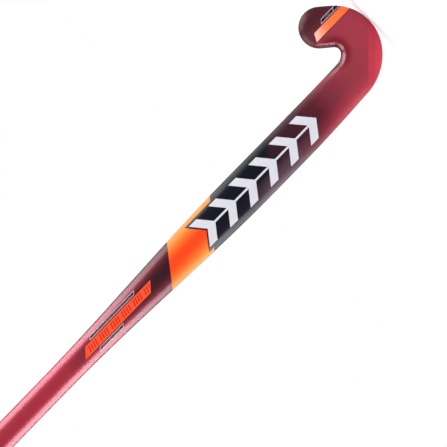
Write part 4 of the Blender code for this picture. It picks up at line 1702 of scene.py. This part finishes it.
@dataclass
class Inside:
    """The parts inside the body and under the grip, which keep their own solids."""

    nodes: dict[str, bpy.types.Object]

    def build(self, effects: Effects) -> None:
        """Gives each solid its finish.

        Args:
            effects: the shared shader groups.
        """
        carbon = WovenFinish("bare carbon tube", paint(44, 44, 48), paint(26, 26, 30), 520.0, 0.32)
        aramid = WovenFinish("aramid sleeve", paint(206, 176, 78), paint(172, 140, 52), 460.0, 0.6)
        underlay = WovenFinish("underlay tape", paint(206, 206, 202), paint(180, 180, 176), 900.0, 0.8)
        for finish, slot, names in (
            (aramid, "aramid_sleeve", ("core_sleeve",)),
            (FoamFinish(), "structural_foam", ("head_core",)),
            (carbon, "carbon_tube", ("heel_side_tube", "toe_side_tube")),
            (WoodFinish(), "plug_wood", ("butt_plug",)),
            (underlay, "underlay_tape", ("grip_underlay",)),
        ):
            material = finish.make(effects)
            for name in names:
                solid = self.nodes[name]
                solid.data.materials.clear()
                solid.data.materials.append(material)
                LOG.info("%s: dressed as %s", name, material.name)


@dataclass
class Studio:
    """A pale floor, a white surround, soft lamps all round, and the camera.

    tip is where the stick's bottom lies in the picture, and up_shaft the way up its shaft there,
    both in pixels. A pixel shows that many metres. shift moves the picture's middle a little.
    """

    floor_height: float = -772.6 * MM
    floor_size: float = 60.0
    lens: float = 400.0
    sensor: float = 36.0
    picture: float = 447.0
    pixel: float = 1.077 * MM
    tip: Place = (386.73, 37.61)
    up_shaft: Place = (-0.69613, 0.71792)
    shift: Place = (-3.6 * MM, 0.6 * MM)
    ambient: float = 0.48
    softness: float = 55.0
    key: float = 1.24
    fill: float = 1.1
    plane: float = -12 * MM

    def camera(self) -> None:
        """A long lens behind the stick's back, rolled so that the stick lies corner to corner.

        The stick's bottom and the way up its shaft are set in the picture. From them comes the
        place of the stick that the middle of the picture shows.
        """
        along = np.array(self.up_shaft)
        across = np.array([along[1], -along[0]])
        middle = 0.5 * self.picture - np.array(self.tip)
        height = self.pixel * float(middle @ along) + self.shift[1]
        x = self.pixel * float(middle @ across) + self.shift[0]
        distance = self.picture * self.pixel * self.lens / self.sensor
        right = Vector((across[0], 0.0, along[0]))
        up = Vector((-across[1], 0.0, -along[1]))
        data = bpy.data.cameras.new("studio_camera")
        data.lens, data.sensor_width, data.clip_end = self.lens, self.sensor, 100.0
        camera = link(bpy.data.objects.new("studio_camera", data))
        turn = Matrix((right, up, Vector((0.0, 1.0, 0.0)))).transposed()
        place = Vector((x, self.plane + distance, height - HOLD_HEIGHT))
        camera.matrix_world = Matrix.Translation(place) @ turn.to_4x4()
        bpy.context.scene.camera = camera

    def floor(self, effects: Effects) -> None:
        """A wide pale floor just under the head, which takes shadows and stays near white.

        Args:
            effects: the shared shader groups.
        """
        half, z = 0.5 * self.floor_size, self.floor_height
        corners = [(-half, -half, z), (half, -half, z), (half, half, z), (-half, half, z)]
        mesh = bpy.data.meshes.new("studio_floor")
        mesh.from_pydata(corners, [], [(0, 1, 2, 3)])
        mesh.materials.append(FloorFinish().make(effects))
        floor = link(bpy.data.objects.new("studio_floor", mesh))

    def surround(self) -> None:
        """A white world to the eye and in reflections, and a softer one as light."""
        world = bpy.data.worlds.new("studio_surround")
        world.use_nodes = True
        kit = NodeKit(world.node_tree)
        back = world.node_tree.nodes["Background"]
        rays = kit.add("LightPath").outputs
        camera, glossy, through = (
            Value(kit, rays[f"Is {kind} Ray"]) for kind in ("Camera", "Glossy", "Transmission")
        )
        kit.put(back.inputs["Color"], (1.0, 1.0, 1.0, 1.0))
        strength = (camera | glossy | through) * (1.0 - self.ambient) + self.ambient
        kit.put(back.inputs["Strength"], strength)
        bpy.context.scene.world = world

    @staticmethod
    def _hang(name: str, data: bpy.types.Light, place: Numbers, target: Numbers) -> bpy.types.Object:
        """A lamp at a place, turned to a target and never seen itself.

        Args:
            name: the lamp's name.
            data: what kind of lamp it is.
            place: where it hangs.
            target: what it looks at.

        Returns:
            The lamp.
        """
        lamp = link(bpy.data.objects.new(name, data))
        turn = (Vector(target) - Vector(place)).to_track_quat("-Z", "Y").to_matrix()
        lamp.matrix_world = Matrix.Translation(Vector(place)) @ turn.to_4x4()
        lamp.visible_camera = False
        return lamp

    def soft_sun(self, name: str, place: Numbers, energy: float) -> None:
        """A far, wide lamp that lights stick and floor evenly and leaves soft shadows."""
        data = bpy.data.lights.new(name, "SUN")
        data.energy, data.angle = energy, math.radians(self.softness)
        self._hang(name, data, place, (0.0, 0.0, 0.0)).visible_glossy = False

    def shine(self, name: str, place: Numbers, target: Numbers, size: Place, radiance: float) -> None:
        """A soft box that only the gloss shows.

        Args:
            name: the lamp's name.
            place: where it hangs.
            target: what it looks at.
            size: its two sides, in metres.
            radiance: how bright each point of it is.
        """
        data = bpy.data.lights.new(name, "AREA")
        data.shape = "RECTANGLE"
        data.size, data.size_y = size
        data.energy = radiance * math.pi * size[0] * size[1]
        self._hang(name, data, place, target).visible_diffuse = False

    def build(self, effects: Effects) -> None:
        """Sets up the whole studio and the view settings.

        Args:
            effects: the shared shader groups.
        """
        self.camera()
        self.floor(effects)
        self.surround()
        self.soft_sun("back_key", (-0.5, 1.6, 1.4), self.key)
        self.soft_sun("face_key", (0.5, -1.6, 1.4), self.key)
        for name, way, glow in (("heel", 1.0, 20.0), ("toe", -1.0, 16.0)):
            self.soft_sun(f"{name}_fill", (1.6 * way, 0.0, 0.35), self.fill)
            self.shine(f"{name}_shine", (1.25 * way, -0.2, -0.25), (0.0, -0.2, -0.3), (1.7, 1.9), glow)
        self.shine("top_shine", (0.0, 0.0, 1.4), (0.0, 0.0, -0.7), (1.8, 1.8), 16.0)
        bpy.context.scene.view_settings.view_transform = "Standard"


def main() -> None:
    """Builds the stick piece by piece, then the studio round it."""
    logging.basicConfig(level=logging.INFO, format="%(name)s: %(message)s")
    line = StickLine()
    effects = Effects()
    settle(Body(line).build(), LacquerFinish().make(effects), "outer_laminate")
    Films(Lacquer(line)).build(effects)
    Grip(line).build(effects)
    Inside(frame["nodes"]).build(effects)
    Studio().build(effects)


if __name__ == "__main__":
    main()
